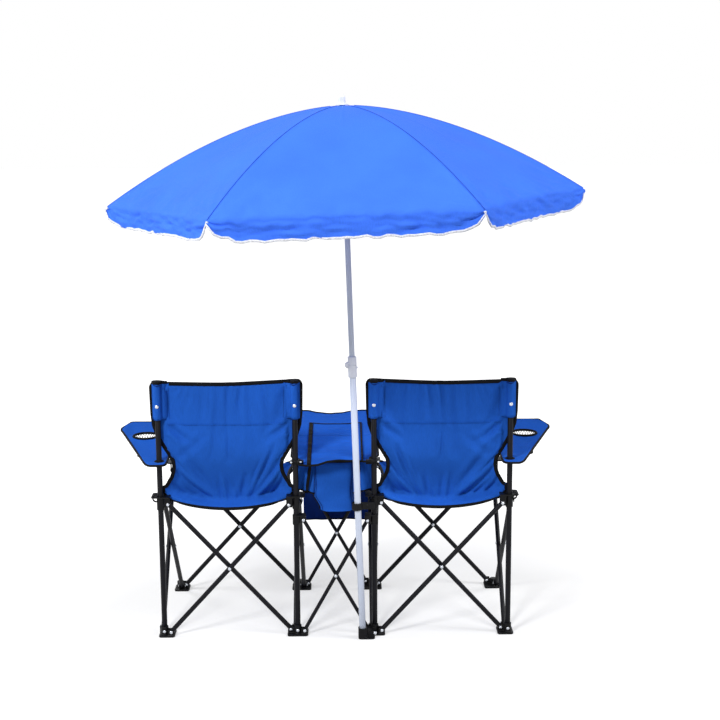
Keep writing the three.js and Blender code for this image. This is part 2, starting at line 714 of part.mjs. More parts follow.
function canopySurface(u, v) {
    const turn = u * canopyPanels;
    const holeShare = (upperPoleRadius + fabricThickness) / canopyRadius / Math.cos(ribTurn / 2);
    if (v <= canopyTopShare) return canopyPoint(turn, holeShare + (1 - holeShare) * v / canopyTopShare);
    const down = (v - canopyTopShare) / (1 - canopyTopShare);
    const [x, y, z] = canopyPoint(turn, 1);
    const flare = 1 + valanceFlareShare * down;
    return [x * flare, y * flare, z - down * valanceDepth(turn - Math.floor(turn))];
}

place('canopy', cloth(canopySurface, canopyPanels * canopyColumns, canopyRows, fabricThickness, true),
    'canopyCloth', umbrella);

// Ribs lie close under the canopy's seams, and each has a strut from the runner.
const ribBelow = fabricThickness / 2 + ribRadius + seamGap;

function ribPath(angle) {
    const start = (crownRadius - wireSeat) / canopyRadius;
    const shares = Array.from({ length: ribSteps + 1 }, (_, i) => start + (ribEndShare - start) * i / ribSteps);
    return new THREE.CatmullRomCurve3(shares.map((s) => {
        const r = s * canopyRadius;
        return new THREE.Vector3(r * Math.cos(angle), r * Math.sin(angle), up(domeHeight(s)) - ribBelow * (1 + s));
    }));
}

function sweep(path, radius, steps, sides) {
    const section = new THREE.Shape().absarc(0, 0, radius, 0, 2 * Math.PI);
    return new THREE.ExtrudeGeometry(section, {
        steps, extrudePath: path, bevelEnabled: false, curveSegments: sides / 2,
    });
}

function strut(angle) {
    const meet = ribPath(angle).getPointAt(stretcherShare);
    const outward = new THREE.Vector3(Math.cos(angle), Math.sin(angle), 0);
    const low = outward.clone().multiplyScalar(runnerRadius - wireSeat).setZ(up(runnerHeight + runnerLength / 2));
    const reach = meet.clone().sub(low);
    const high = low.clone().addScaledVector(reach, 1 - (2 * ribRadius + stretcherRadius) / reach.length());
    return rod(low.toArray(), high.toArray(), stretcherRadius, wireSides);
}

const angles = Array.from({ length: canopyPanels }, (_, i) => i * ribTurn);
const slideRadius = upperPoleRadius + runningGap;
const crown = tube(crownRadius, crownRadius - slideRadius, up(crownTop - crownHeight), up(crownTop));
const ribs = angles.map((angle) => sweep(ribPath(angle), ribRadius, ribSteps, wireSides));
place('crown_and_ribs', geometryOf(joined([crown, ...ribs])), 'brightSteel', umbrella);

function turned(points, sides) {
    const profile = points.map(([r, height]) => new THREE.Vector2(r, up(height)));
    return new THREE.LatheGeometry(profile, sides).rotateX(Math.PI / 2);
}

const runner = turned([
    [slideRadius, runnerHeight], [runnerRadius - runnerFlange, runnerHeight],
    [runnerRadius - runnerFlange, runnerHeight + runnerLength / 3], [runnerRadius, runnerHeight + runnerLength / 3],
    [runnerRadius, runnerHeight + runnerLength * 2 / 3],
    [runnerRadius - runnerFlange, runnerHeight + runnerLength * 2 / 3],
    [runnerRadius - runnerFlange, runnerHeight + runnerLength], [slideRadius, runnerHeight + runnerLength],
    [slideRadius, runnerHeight],
], tubeSides);
place('runner_and_struts', geometryOf(joined([runner, ...angles.map(strut)])), 'brightSteel', umbrella);

const finialBase = canopyApex + fabricThickness;
const finial = carved([
    turned([
        [0, finialBase], [finialRadius * finialDiscShare, finialBase],
        [finialRadius * finialDiscShare, finialBase + finialDisc], [finialRadius, finialBase + finialDisc],
        [finialRadius, finialBase + finialHeight * finialShoulderShare],
        [finialRadius / 2, finialBase + finialHeight], [0, finialBase + finialHeight],
    ], tubeSides),
], [upright(upperPoleRadius + runningGap, finialBase - overrun, poleTop + runningGap)]);
place('finial', finial, 'whitePlastic', umbrella);

// The clamp rides up with its seat hub when the frame folds, and its ring lets the leaning pole through.
const foldedHeight = Math.sqrt(sideLength ** 2 - foldedSpan ** 2);
const hubRise = foldedHeight - pivotRise;

function clampPieces() {
    const middle = (clampBottom + clampTop) / 2 + hubRise / 2;
    const x = poleX(middle);
    const travel = Math.tan(umbrellaLean) * (hubRise + clampTop - clampBottom) / 2;
    const bore = poleRadius / Math.cos(umbrellaLean) + travel + clampGap;
    const ring = rod([x, -poleBehind, clampBottom], [x, -poleBehind, clampTop], bore + clampWall);
    const arm = block(x, 0, -poleBehind, -poleBehind + clampArmThickness, clampBottom, clampTop);
    const saddle = block(-sleeveRadius - runningGap - clampWall, 0, -poleBehind, 0, clampBottom, clampTop);
    const bolt = rod([-clampBolt, -poleBehind - rivetHeadHeight, (clampBottom + clampTop) / 2],
        [-clampBolt, 0, (clampBottom + clampTop) / 2], rivetHeadRadius, rivetSides);
    return carved([ring, arm, saddle, bolt], [
        rod([x, -poleBehind, clampBottom - overrun], [x, -poleBehind, clampTop + overrun], bore),
        rod([0, 0, clampBottom - overrun], [0, 0, clampTop + overrun], sleeveRadius + runningGap),
    ]);
}

place('pole_clamp', clampPieces(), 'blackPlastic').position.set(columns[umbrellaColumn].x, rearY, 0);

// Seats and backs. Each is one cloth that hangs from the post tops and turns forward into the seat.

const clothBackY = rearY + clothAhead;
const backLength = backTop - seatLevel - seatBend;
const bendLength = seatBend * Math.PI / 2;
const seatLength = frontY - frontEdgeBack - clothBackY - seatBend;
const smooth = (from, to, x) => THREE.MathUtils.smoothstep(x, Math.min(from, to), Math.max(from, to));

function clothHalfWidth(height) {
    if (height >= waistHeight) {
        return THREE.MathUtils.lerp(waistHalfWidth, backHalfWidth, smooth(waistHeight, sleeveBottom, height));
    }
    return THREE.MathUtils.lerp(seatHalfWidth, waistHalfWidth, smooth(seatLevel, waistHeight, height));
}

function seatAndBackPoint(u, v) {
    const s = v * (backLength + bendLength + seatLength);
    const side = 2 * u - 1;
    const dip = (1 - side ** 2) ** 2;
    if (s < backLength) {
        const height = backTop - s;
        const drop = rearSag * dip * (1 - smooth(seatLevel, sleeveBottom, height));
        return [-side * clothHalfWidth(height), clothBackY, height - drop];
    }
    const turn = Math.min((s - backLength) / seatBend, Math.PI / 2);
    const forward = Math.max(s - backLength - bendLength, 0);
    const share = forward / seatLength;
    const sag = THREE.MathUtils.lerp(rearSag, frontSag, share)
        + (middleSag - (rearSag + frontSag) / 2) * Math.sin(Math.PI * share);
    const height = seatLevel + seatBend * (1 - Math.sin(turn)) - sag * dip;
    return [-side * seatHalfWidth, clothBackY + seatBend * (1 - Math.cos(turn)) + forward, height];
}

function postSleeve(x) {
    return rod([x, rearY, sleeveBottom], [x, rearY, backTop], sleeveOuter);
}

for (const bay of bays.filter((one) => one.name !== 'middle')) {
    const ends = [-seatBay / 2, seatBay / 2];
    const centre = columns[bay.left].x + seatBay / 2;
    const panel = cloth(seatAndBackPoint, seatClothColumns, seatClothRows, clothThickness);
    const pockets = ends.map((x) => rod([x, rearY, sleeveBottom - overrun], [x, rearY, postTop + runningGap],
        sleeveInner));
    place(`${bay.name}_seat_and_back`, carved([panel, ...ends.map(postSleeve)], pockets), 'seatCloth')
        .position.set(centre, 0, 0);
}

// Armrests over the outer posts. Each is a sloping plate with a hanging net cup.

function slopingPlate(shape, thickness, rear, front) {
    const geometry = new THREE.ExtrudeGeometry(shape, { depth: thickness, bevelEnabled: false, curveSegments: 4 });
    geometry.translate(0, 0, -thickness / 2);
    const rise = (front - rear) / frameDepth;
    const shear = new THREE.Matrix4().set(1, 0, 0, 0, 0, 1, 0, 0, 0, rise, 1, rear - rearY * rise, 0, 0, 0, 1);
    return geometry.applyMatrix4(shear);
}

// The height of a plate's middle at the front columns, where its underside rests on the arm tubes.
function seatedHeight(tubeTop, rear, thickness) {
    const clear = tubeTop + runningGap + thickness / 2;
    const slope = (clear - rear) / frameDepth;
    return clear + slope * postRadius;
}

function armShape() {
    const rear = rearY - armRearOverhang;
    const front = frontY + armFrontOverhang;
    const shape = new THREE.Shape();
    shape.moveTo(-armInboard, rear + armCorner);
    shape.quadraticCurveTo(-armInboard, rear, -armInboard + armCorner, rear);
    shape.lineTo(armRearOut - armCorner / 2, rear);
    shape.quadraticCurveTo(armRearOut, rear, armRearOut + armCorner / 2, rear + armCorner);
    shape.lineTo(armFrontOut - armCorner / 3, front - armWidestBack - armCorner / 2);
    shape.quadraticCurveTo(armFrontOut, front - armWidestBack, armFrontOut, front - armWidestBack + armCorner);
    shape.lineTo(armFrontOut - armCorner, front - armCorner / 2);
    shape.quadraticCurveTo(armFrontOut - armCorner, front, armFrontOut - 2 * armCorner, front);
    shape.lineTo(-armInboard, front);
    shape.closePath();
    return shape;
}

function netCup(z) {
    const floor = z - cupDepth;
    const profile = [
        [0, floor], [cupFloorRadius, floor], [cupRadius + cupWall, z], [cupRadius, z],
        [cupFloorRadius - cupWall, floor + cupWall], [0, floor + cupWall],
    ].map(([r, height]) => new THREE.Vector2(r, height));
    return new THREE.LatheGeometry(profile, cupSides).rotateX(Math.PI / 2).translate(cupOut, cupForward, 0);
}

const armFront = seatedHeight(outerArmTubeTop, armRear, armThickness);
const armAt = (y) => THREE.MathUtils.mapLinear(y, rearY, frontY, armRear, armFront);

function armrest() {
    const top = armAt(cupForward + cupRadius) + armThickness;
    const hole = rod([cupOut, cupForward, armAt(cupForward) - cupDepth], [cupOut, cupForward, top], cupRadius,
        cupSides);
    const postHole = rod([0, rearY, armRear - cupDepth], [0, rearY, armRear + cupDepth], sleeveInner);
    const plate = solid(slopingPlate(armShape(), armThickness, armRear, armFront));
    const open = plate.subtract(solid(hole)).subtract(solid(postHole));
    return geometryOf(open.add(solid(netCup(armAt(cupForward)))));
}

const rightArm = armrest();
const leftArm = geometryOf(solid(rightArm).mirror([1, 0, 0]));
place('right_armrest', rightArm, 'seatCloth').position.set(columns[3].x, 0, 0);
place('left_armrest', leftArm, 'seatCloth').position.set(columns[0].x, 0, 0);

// The cooler table between the seats, with a skirt down its front, and the cooler bag under its lid.

const tableFront = seatedHeight(innerArmTubeTop, tableRear, tableThickness);
const tableAt = (y) => THREE.MathUtils.mapLinear(y, rearY, frontY, tableRear, tableFront);
const lidFrontY = THREE.MathUtils.lerp(rearY, frontY, lidFrontShare);
const bagRearY = rearY + clothAhead + lidRearInset;

function flatShape(x0, x1, y0, y1) {
    return new THREE.Shape([[x0, y0], [x1, y0], [x1, y1], [x0, y1]].map((p) => new THREE.Vector2(...p)));
}

function coolerTable() {
    const front = frontY + tableOverhang;
    const rear = rearY - tableOverhang;
    const top = slopingPlate(flatShape(-tableHalfWidth, tableHalfWidth, rear, front),
        tableThickness, tableRear, tableFront);
    const lid = slopingPlate(flatShape(-lidHalfWidth, lidHalfWidth, bagRearY, lidFrontY),
        tableThickness + lidThickness, tableRear + lidThickness / 2, tableFront + lidThickness / 2);
    const skirt = block(-skirtHalfWidth, skirtHalfWidth, front - skirtThickness, front,
        skirtBottom, tableAt(front));
    const holes = [-1, 1].map((side) => rod([side * middleBay / 2, rearY, tableRear - cupDepth],
        [side * middleBay / 2, rearY, tableRear + cupDepth], sleeveInner));
    return carved([top, lid, skirt], holes);
}

function coolerBag() {
    const rim = (y) => tableAt(y) - tableThickness / 2 - runningGap;
    const outline = (inset, low) => {
        const shape = new THREE.Shape();
        const y0 = bagRearY + inset;
        const y1 = lidFrontY - inset;
        shape.moveTo(y0, rim(y0));
        shape.lineTo(y0, low + bagCorner);
        shape.quadraticCurveTo(y0, low, y0 + bagCorner, low);
        shape.lineTo(y1 - bagCorner, low);
        shape.quadraticCurveTo(y1, low, y1, low + bagCorner);
        shape.lineTo(y1, rim(y1));
        return shape;
    };
    const loft = (inset, low, half) => new THREE.ExtrudeGeometry(outline(inset, low), {
        depth: 2 * half, bevelEnabled: false, curveSegments: 4,
    }).rotateX(Math.PI / 2).rotateZ(Math.PI / 2).translate(-half, 0, 0);
    const bottom = tableRear - bagDepth;
    const inner = loft(bagWall, bottom + bagWall, bagHalfWidth - bagWall).translate(0, 0, overrun);
    return carved([loft(0, bottom, bagHalfWidth)], [inner]);
}

place('cooler_table', coolerTable(), 'seatCloth');
place('cooler_bag', coolerBag(), 'seatCloth');

// The origin is on the floor, under the middle of the whole outline.
const middleOfAll = new THREE.Box3().setFromObject(loveseat, true).getCenter(new THREE.Vector3());
loveseat.position.set(-middleOfAll.x, -middleOfAll.y, 0);

export default loveseat;
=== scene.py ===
"""A folding double camping chair with a cooler table and a beach umbrella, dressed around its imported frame.

Metres, +Z up, the front of the chairs towards +Y. The photograph looks at them from behind.
"""

import json
import math

import bmesh
import bpy
import numpy as np
from mathutils import Matrix, Vector, noise
from mathutils.bvhtree import BVHTree
from mathutils.geometry import delaunay_2d_cdt


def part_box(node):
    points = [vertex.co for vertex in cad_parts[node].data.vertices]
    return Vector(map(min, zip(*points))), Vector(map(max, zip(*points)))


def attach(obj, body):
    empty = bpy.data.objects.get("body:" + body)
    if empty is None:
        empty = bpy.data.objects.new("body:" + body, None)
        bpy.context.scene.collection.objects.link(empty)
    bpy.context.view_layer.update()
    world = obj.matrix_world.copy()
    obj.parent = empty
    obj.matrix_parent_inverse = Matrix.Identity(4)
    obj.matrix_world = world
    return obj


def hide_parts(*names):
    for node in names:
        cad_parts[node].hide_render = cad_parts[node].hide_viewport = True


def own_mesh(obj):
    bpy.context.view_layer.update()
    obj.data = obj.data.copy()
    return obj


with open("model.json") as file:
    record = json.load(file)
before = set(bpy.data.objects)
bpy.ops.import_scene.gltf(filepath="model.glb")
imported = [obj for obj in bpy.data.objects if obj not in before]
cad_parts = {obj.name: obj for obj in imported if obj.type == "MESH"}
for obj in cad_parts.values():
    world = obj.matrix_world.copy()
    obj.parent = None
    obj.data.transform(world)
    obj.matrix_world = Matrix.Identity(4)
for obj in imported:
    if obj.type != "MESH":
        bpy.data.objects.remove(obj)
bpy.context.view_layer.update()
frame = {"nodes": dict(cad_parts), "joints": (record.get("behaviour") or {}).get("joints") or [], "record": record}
NODES = frame["nodes"]
BODIES = frame["record"]["behaviour"]["bodies"]
JOINTS = {joint["name"]: joint for joint in frame["joints"]}
BODY_OF = {node: body for body, nodes in BODIES.items() for node in nodes}

# Sizes of the frame's tubes and rivets
POST_RADIUS = 0.0095
SEAT_BAR_RADIUS = 0.008
MIDDLE_BAR_RADIUS = 0.0065
TUBE_WALL = 0.0012
BAR_CROWN = 0.003              # how far a bar's end cap bulges
RIVET_RADIUS = 0.0056
RIVET_HEIGHT = 0.0026
RIVET_SINK = 0.0004            # how far a rivet's head starts inside what it holds
RIVET_EDGE = 0.0003            # the height of the head's straight edge
TUBE_SIDES = 24
POLE_RADII = {"lower_pole": 0.011, "upper_pole": 0.0095}
POLE_WALL = 0.0014
POLE_SIDES = 32
FOOT_PIVOT_Z = 0.018

# Moulded parts: the grid on which their form is rounded, finer for the small ones
VOXEL = 0.0014
FINE_VOXELS = {"knuckle_base": 0.0006, "knuckle_top": 0.001, "finial": 0.001}
SMOOTHING = 4
WELD = 1e-5                    # points nearer than this are one
TUBE_SINK = 0.004              # how far an arm tube starts inside its hub

# Places of the columns, taken from the frame
COLUMNS = ("outer_left", "inner_left", "inner_right", "outer_right")


def middle_of(node):
    low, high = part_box(node)
    return (low + high) / 2


COLUMN_X = {name: middle_of(f"rear_post_{name}").x for name in COLUMNS}
REAR_Y = middle_of("rear_post_outer_left").y
FRONT_Y = JOINTS["front_left_cross"]["pos_m"][1]
POST_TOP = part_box("rear_post_outer_left")[1].z
SEAT_PIVOT_Z = JOINTS["rear_left_inner_hub"]["pos_m"][2]
HUB_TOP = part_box("rear_seat_hub_outer_left")[1].z
FRAME_DEPTH = FRONT_Y - REAR_Y


# Meshes

class Shape:
    """The points and faces of one piece, each face with the number of its material."""

    def __init__(self):
        self.points = []
        self.faces = []
        self.numbers = []

    def add(self, points, faces, number=0):
        base = len(self.points)
        self.points += [tuple(point) for point in points]
        self.faces += [[base + i for i in face] for face in faces]
        self.numbers += [number] * len(faces)
        return self

    def build(self, name, materials):
        mesh = bpy.data.meshes.new(name)
        mesh.from_pydata(self.points, [], self.faces)
        mesh.validate()
        for material in materials:
            mesh.materials.append(material)
        mesh.polygons.foreach_set("material_index", self.numbers)
        mesh.polygons.foreach_set("use_smooth", [True] * len(mesh.polygons))
        piece = bpy.data.objects.new(name, mesh)
        bpy.context.scene.collection.objects.link(piece)
        return piece


def frame_along(direction):
    """Two unit vectors square to a direction."""
    direction = direction.normalized()
    hint = Vector((0, 0, 1))
    if abs(direction.dot(hint)) > 0.95:
        hint = Vector((1, 0, 0))
    side = direction.cross(hint).normalized()
    return side, direction.cross(side).normalized()


def ring_faces(rings, sides, closed=False):
    """Faces between rings of points: capped at both ends or, if closed, from the last ring to the first."""
    faces = []
    for i in range(rings if closed else rings - 1):
        j = (i + 1) % rings
        for k in range(sides):
            n = (k + 1) % sides
            faces.append([i * sides + k, i * sides + n, j * sides + n, j * sides + k])
    if not closed:
        faces.append(list(range(sides))[::-1])
        faces.append([(rings - 1) * sides + k for k in range(sides)])
    return faces


def swept(path, radii, sides=TUBE_SIDES, closed=False, section=None, ups=None):
    """A tube along a path, with a radius at each point and flat ends. section shapes it if given,
    as (across, up) shares of the radius, and ups give the section's up at each point."""
    path = [Vector(point) for point in path]
    count = len(path)
    if not hasattr(radii, "__len__"):
        radii = [radii] * count
    if section is None:
        turns = [2 * math.pi * i / sides for i in range(sides)]
        section = [(math.cos(turn), math.sin(turn)) for turn in turns]
    sides = len(section)
    points = []
    side = None
    for i, point in enumerate(path):
        before = path[i - 1] if i or closed else path[0]
        after = path[(i + 1) % count] if i < count - 1 or closed else path[-1]
        direction = (after - before).normalized()
        if ups is not None:
            up = (ups[i] - direction * ups[i].dot(direction)).normalized()
            side = direction.cross(up)
        elif side is None:
            side, up = frame_along(direction)
        else:
            side = (side - direction * side.dot(direction)).normalized()
            up = direction.cross(side)
        points += [point + radii[i] * (a * side + b * up) for a, b in section]
    return points, ring_faces(count, sides, closed)


def capped(start, end, radius, crown=BAR_CROWN, sides=TUBE_SIDES, steps=4):
    """A straight rod whose ends bulge a little, as a plug in a tube does."""
    start, end = Vector(start), Vector(end)
    along = (end - start).normalized()
    path, radii = [], []
    for i in range(steps):
        turn = math.pi / 2 * i / steps
        path.append(start + along * crown * (1 - math.sin(turn)))
        radii.append(radius * math.sqrt(max(1 - (1 - math.sin(turn)) ** 2, 0.02)))
    path.append(start + along * crown)
    radii.append(radius)
    path += [end - (point - start) for point in reversed(path)]
    radii += list(reversed(radii))
    return swept(path, radii, sides)


def turned(profile, base, axis, sides=TUBE_SIDES, closed=False):
    """A profile of (radius, height) turned about an axis through a base point."""
    base, axis = Vector(base), Vector(axis).normalized()
    side, up = frame_along(axis)
    points = []
    for radius, height in profile:
        for k in range(sides):
            turn = 2 * math.pi * k / sides
            points.append(base + axis * height + radius * (math.cos(turn) * side + math.sin(turn) * up))
    return points, ring_faces(len(profile), sides, closed)


def hollow_tube(start, end, radius, wall, sides=TUBE_SIDES):
    """An open tube with its bore."""
    start, end = Vector(start), Vector(end)
    length = (end - start).length
    inner = radius - wall
    edge = wall / 3
    profile = [
        (inner, 0), (inner + edge, 0), (radius - edge, 0), (radius, edge),
        (radius, length - edge), (radius - edge, length), (inner + edge, length), (inner, length - edge),
    ]
    return turned(profile, start, end - start, sides, closed=True)


def grid_of(point, columns, rows):
    """The places point(i, j) as a grid, with i from 0 to columns and j from 0 to rows."""
    return np.array([[point(i, j) for i in range(columns + 1)] for j in range(rows + 1)])


def grid_normals(grid, wraps=False):
    """The unit normals of a grid of points, which meets itself sideways if it wraps."""
    if wraps:
        du = np.roll(grid, -1, axis=1) - np.roll(grid, 1, axis=1)
    else:
        du = np.gradient(grid, axis=1)
    dv = np.gradient(grid, axis=0)
    normal = np.cross(du, dv)
    return normal / np.maximum(np.linalg.norm(normal, axis=2, keepdims=True), 1e-12)


def thick_grid(grid, thickness, wraps=False):
    """A closed sheet with half of its thickness on each side of a grid."""
    rows, ring = grid.shape[:2]
    normal = grid_normals(grid, wraps)
    points = np.concatenate([
        (grid + normal * thickness / 2).reshape(-1, 3), (grid - normal * thickness / 2).reshape(-1, 3),
    ])
    layer = rows * ring
    faces = []
    across = ring if wraps else ring - 1
    for i in range(across):
        n = (i + 1) % ring
        for j in range(rows - 1):
            a, b, c, d = j * ring + i, j * ring + n, (j + 1) * ring + n, (j + 1) * ring + i
            faces.append([a, b, c, d])
            faces.append([layer + a, layer + d, layer + c, layer + b])
        top = (rows - 1) * ring
        faces.append([i, layer + i, layer + n, n])
        faces.append([top + i, top + n, layer + top + n, layer + top + i])
    if not wraps:
        for j in range(rows - 1):
            a, b = j * ring, (j + 1) * ring
            faces.append([a, b, layer + b, layer + a])
            faces.append([a + across, layer + a + across, layer + b + across, b + across])
    return points, faces


def ends_of(node):
    """The centres of the two ends of a straight rod's node, the lower one first."""
    points = np.array([vertex.co[:] for vertex in NODES[node].data.vertices])
    centre = points.mean(0)
    direction = np.linalg.svd(points - centre, full_matrices=False)[2][0]
    along = (points - centre) @ direction
    margin = 1e-3
    ends = [points[along < along.min() + margin].mean(0), points[along > along.max() - margin].mean(0)]
    return [Vector(end) for end in sorted(ends, key=lambda end: end[2])]


def smoothstep(low, high, x):
    """0 at low, 1 at high and smooth between them, whichever of the two is larger."""
    t = min(max((x - low) / (high - low), 0), 1)
    return t * t * (3 - 2 * t)


def mix(a, b, share):
    return a + (b - a) * share


def noise_at(x, y, z):
    return noise.noise(Vector((x, y, z)))


# Materials

NOISE_RANGE = (0.3, 0.7)       # where most of a noise lies


def srgb(r, g, b):
    """The linear colour of an sRGB one from 0 to 255."""
    def linear(value):
        value /= 255
        return value / 12.92 if value <= 0.04045 else ((value + 0.055) / 1.055) ** 2.4
    return tuple(linear(value) for value in (r, g, b))


class Surface:
    """A material under construction: its shader and short ways to add nodes to it."""

    def __init__(self, name, colour, roughness, metallic=0.0):
        self.material = bpy.data.materials.new(name)
        self.material.use_nodes = True
        self.tree = self.material.node_tree
        self.shader = self.tree.nodes["Principled BSDF"]
        self.colour = colour
        self.shader.inputs["Base Color"].default_value = (*colour, 1)
        self.shader.inputs["Roughness"].default_value = roughness
        self.shader.inputs["Metallic"].default_value = metallic
        coordinates = self.tree.nodes.new("ShaderNodeTexCoord")
        self.place = coordinates.outputs["Object"]
        split = self.tree.nodes.new("ShaderNodeSeparateXYZ")
        self.tree.links.new(self.place, split.inputs[0])
        self.x, self.y, self.z = split.outputs

    def math(self, operation, a, b=0.0):
        node = self.tree.nodes.new("ShaderNodeMath")
        node.operation = operation
        for slot, value in zip(node.inputs, (a, b)):
            if isinstance(value, (int, float)):
                slot.default_value = value
            else:
                self.tree.links.new(value, slot)
        return node.outputs[0]

    def noise(self, scale, detail=2.0, kind="FBM", stretch=None):
        node = self.tree.nodes.new("ShaderNodeTexNoise")
        node.noise_type = kind
        node.normalize = kind == "FBM"
        node.inputs["Scale"].default_value = scale
        node.inputs["Detail"].default_value = detail
        source = self.place
        if stretch:
            mapping = self.tree.nodes.new("ShaderNodeMapping")
            mapping.inputs["Scale"].default_value = stretch
            self.tree.links.new(source, mapping.inputs[0])
            source = mapping.outputs[0]
        self.tree.links.new(source, node.inputs["Vector"])
        return node.outputs[0]

    def spread(self, value, low, high, new_low, new_high):
        node = self.tree.nodes.new("ShaderNodeMapRange")
        self.tree.links.new(value, node.inputs["Value"])
        for slot, number in zip(("From Min", "From Max", "To Min", "To Max"), (low, high, new_low, new_high)):
            node.inputs[slot].default_value = number
        return node.outputs[0]

    def varied(self, value, low, high):
        """A noise turned into a value from about low to high."""
        return self.spread(value, *NOISE_RANGE, low, high)

    def shaded(self, *factors):
        """The base colour times factors that vary over the surface."""
        product = factors[0]
        for factor in factors[1:]:
            product = self.math("MULTIPLY", product, factor)
        node = self.tree.nodes.new("ShaderNodeMix")
        node.data_type = "RGBA"
        node.blend_type = "MULTIPLY"
        node.inputs["Factor"].default_value = 1
        colours = [slot for slot in node.inputs if slot.type == "RGBA"]
        colours[0].default_value = (*self.colour, 1)
        self.tree.links.new(product, colours[1])
        result = next(slot for slot in node.outputs if slot.type == "RGBA")
        self.tree.links.new(result, self.shader.inputs["Base Color"])
        return self

    def rough(self, value):
        self.tree.links.new(value, self.shader.inputs["Roughness"])
        return self

    def gloss(self, level):
        self.shader.inputs["Specular IOR Level"].default_value = level
        return self

    def bumps(self, *layers):
        """Bumps of (height, distance in metres), the coarse ones first."""
        normal = None
        for height, distance in layers:
            node = self.tree.nodes.new("ShaderNodeBump")
            node.inputs["Strength"].default_value = 1
            node.inputs["Distance"].default_value = distance
            self.tree.links.new(height, node.inputs["Height"])
            if normal is not None:
                self.tree.links.new(normal, node.inputs["Normal"])
            normal = node.outputs[0]
        self.tree.links.new(normal, self.shader.inputs["Normal"])
        return self

    def set(self, **values):
        for name, value in values.items():
            self.shader.inputs[name.replace("_", " ").title()].default_value = value
        return self

    def threads(self, pitch):
        """Warp and weft as crossed ridges, laid by the cloth's width and by its way down and forward."""
        down = self.math("SUBTRACT", self.y, self.z)
        waves = [self.math("SINE", self.math("MULTIPLY", value, 2 * math.pi / pitch)) for value in (self.x, down)]
        return self.math("MULTIPLY", *waves)


def woven(name, colour, pitch=0.0011, roughness=0.74, crease=0.0045, crease_scale=7.0):
    """Coated polyester: a plain weave, faint uneven dye, and small creases."""
    cloth = Surface(name, colour, roughness)
    weave = cloth.threads(pitch)
    dye = cloth.noise(5.0, 3.0)
    slub = cloth.noise(420.0, 1.0, stretch=(1.0, 1.0, 0.15))
    creases = cloth.noise(crease_scale, 4.0, "RIDGED_MULTIFRACTAL")
    cloth.shaded(cloth.varied(dye, 0.9, 1.08), cloth.varied(slub, 0.95, 1.05),
                 cloth.spread(weave, -1.0, 1.0, 0.93, 1.04))
    cloth.rough(cloth.varied(dye, roughness - 0.06, roughness + 0.06))
    return cloth.bumps((creases, crease), (slub, 0.00012), (weave, 0.0001)).gloss(0.03).material


def webbing(name, colour):
    """Tape or thread, with fine ribs and a dull face."""
    tape = Surface(name, colour, 0.72)
    ribs = tape.threads(0.0016)
    lint = tape.noise(260.0, 2.0)
    tape.shaded(tape.varied(lint, 0.8, 1.25), tape.spread(ribs, -1.0, 1.0, 0.85, 1.1))
    return tape.bumps((lint, 0.0001), (ribs, 0.00016)).gloss(0.1).material


def powder_coat(name, colour):
    """Black powder coating, with the dimples of its skin and a little dust and rubbing."""
    coat = Surface(name, colour, 0.44)
    skin = coat.noise(900.0, 2.0)
    dust = coat.noise(34.0, 5.0)
    scuffs = coat.noise(60.0, 3.0, stretch=(1.0, 1.0, 0.08))
    coat.shaded(coat.spread(dust, 0.35, 0.75, 0.9, 1.35), coat.spread(scuffs, 0.62, 0.8, 1.0, 1.5))
    coat.rough(coat.spread(dust, 0.3, 0.75, 0.38, 0.52))
    return coat.bumps((skin, 0.00005)).gloss(0.14).material


def grained(name, colour, roughness, grain=0.00006, wear=0.5):
    """Moulded plastic, with a fine grain and paler rubbed places."""
    moulding = Surface(name, colour, roughness)
    texture = moulding.noise(1300.0, 2.0)
    rubbed = moulding.noise(28.0, 4.0)
    moulding.shaded(moulding.spread(rubbed, 0.45, 0.8, 0.95, 0.95 + wear))
    moulding.rough(moulding.varied(rubbed, roughness + 0.05, roughness - 0.07))
    return moulding.bumps((rubbed, 0.0002), (texture, grain)).gloss(0.15).material


def painted(name, colour, roughness):
    """Smooth paint on a tube, with faint waves and handling marks."""
    paint = Surface(name, colour, roughness)
    marks = paint.noise(22.0, 4.0, stretch=(1.0, 1.0, 0.25))
    skin = paint.noise(500.0, 2.0)
    paint.shaded(paint.spread(marks, 0.35, 0.75, 1.02, 0.93))
    paint.rough(paint.varied(marks, roughness - 0.05, roughness + 0.08))
    return paint.bumps((skin, 0.00003)).set(coat_weight=0.2, coat_roughness=0.2).material


def plated(name, colour):
    """Zinc plate, cloudy and finely brushed."""
    metal = Surface(name, colour, 0.32, 1.0)
    clouds = metal.noise(160.0, 3.0)
    metal.shaded(metal.varied(clouds, 0.82, 1.05))
    metal.rough(metal.varied(clouds, 0.24, 0.42))
    return metal.bumps((metal.noise(1500.0, 1.0), 0.00003)).material


steel = powder_coat("black_powder_coat", srgb(13, 13, 18))
plastic = grained("black_moulded_plastic", srgb(10, 10, 12), 0.46)
white_paint = painted("white_paint", srgb(206, 215, 233), 0.32)
white_plastic = grained("white_moulded_plastic", srgb(232, 235, 243), 0.38, 0.00004, -0.08)
zinc = plated("zinc_plate", srgb(200, 204, 210))
blue_cloth = woven("blue_polyester", srgb(34, 92, 190))
# Navy: the thread of the seams and welts, and on the skirt a darker copy of the blue cloth that paints the shade on
# its rear face.
navy_seam_and_painted_shade_cloth = woven("navy_polyester", srgb(22, 48, 118))
canopy_cloth = woven("canopy_polyester", srgb(66, 120, 246), 0.0008, 0.55, 0.0014, 9.0)
white_tape = webbing("white_tape", srgb(226, 228, 236))
binding = webbing("black_binding", srgb(11, 11, 13))
canopy_thread = webbing("canopy_seam", srgb(38, 78, 186))


def finish(piece, body, replaces=()):
    """Say which body a piece rides, and hide the nodes that it replaces."""
    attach(piece, body)
    if replaces:
        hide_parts(*replaces)
    return piece


# Frame

CHEEK_OUTSIDE = 0.003          # from a bar's side to the outer face of the cheek beside it
BAR_END = 0.007                # from the end of a bar to its pivot


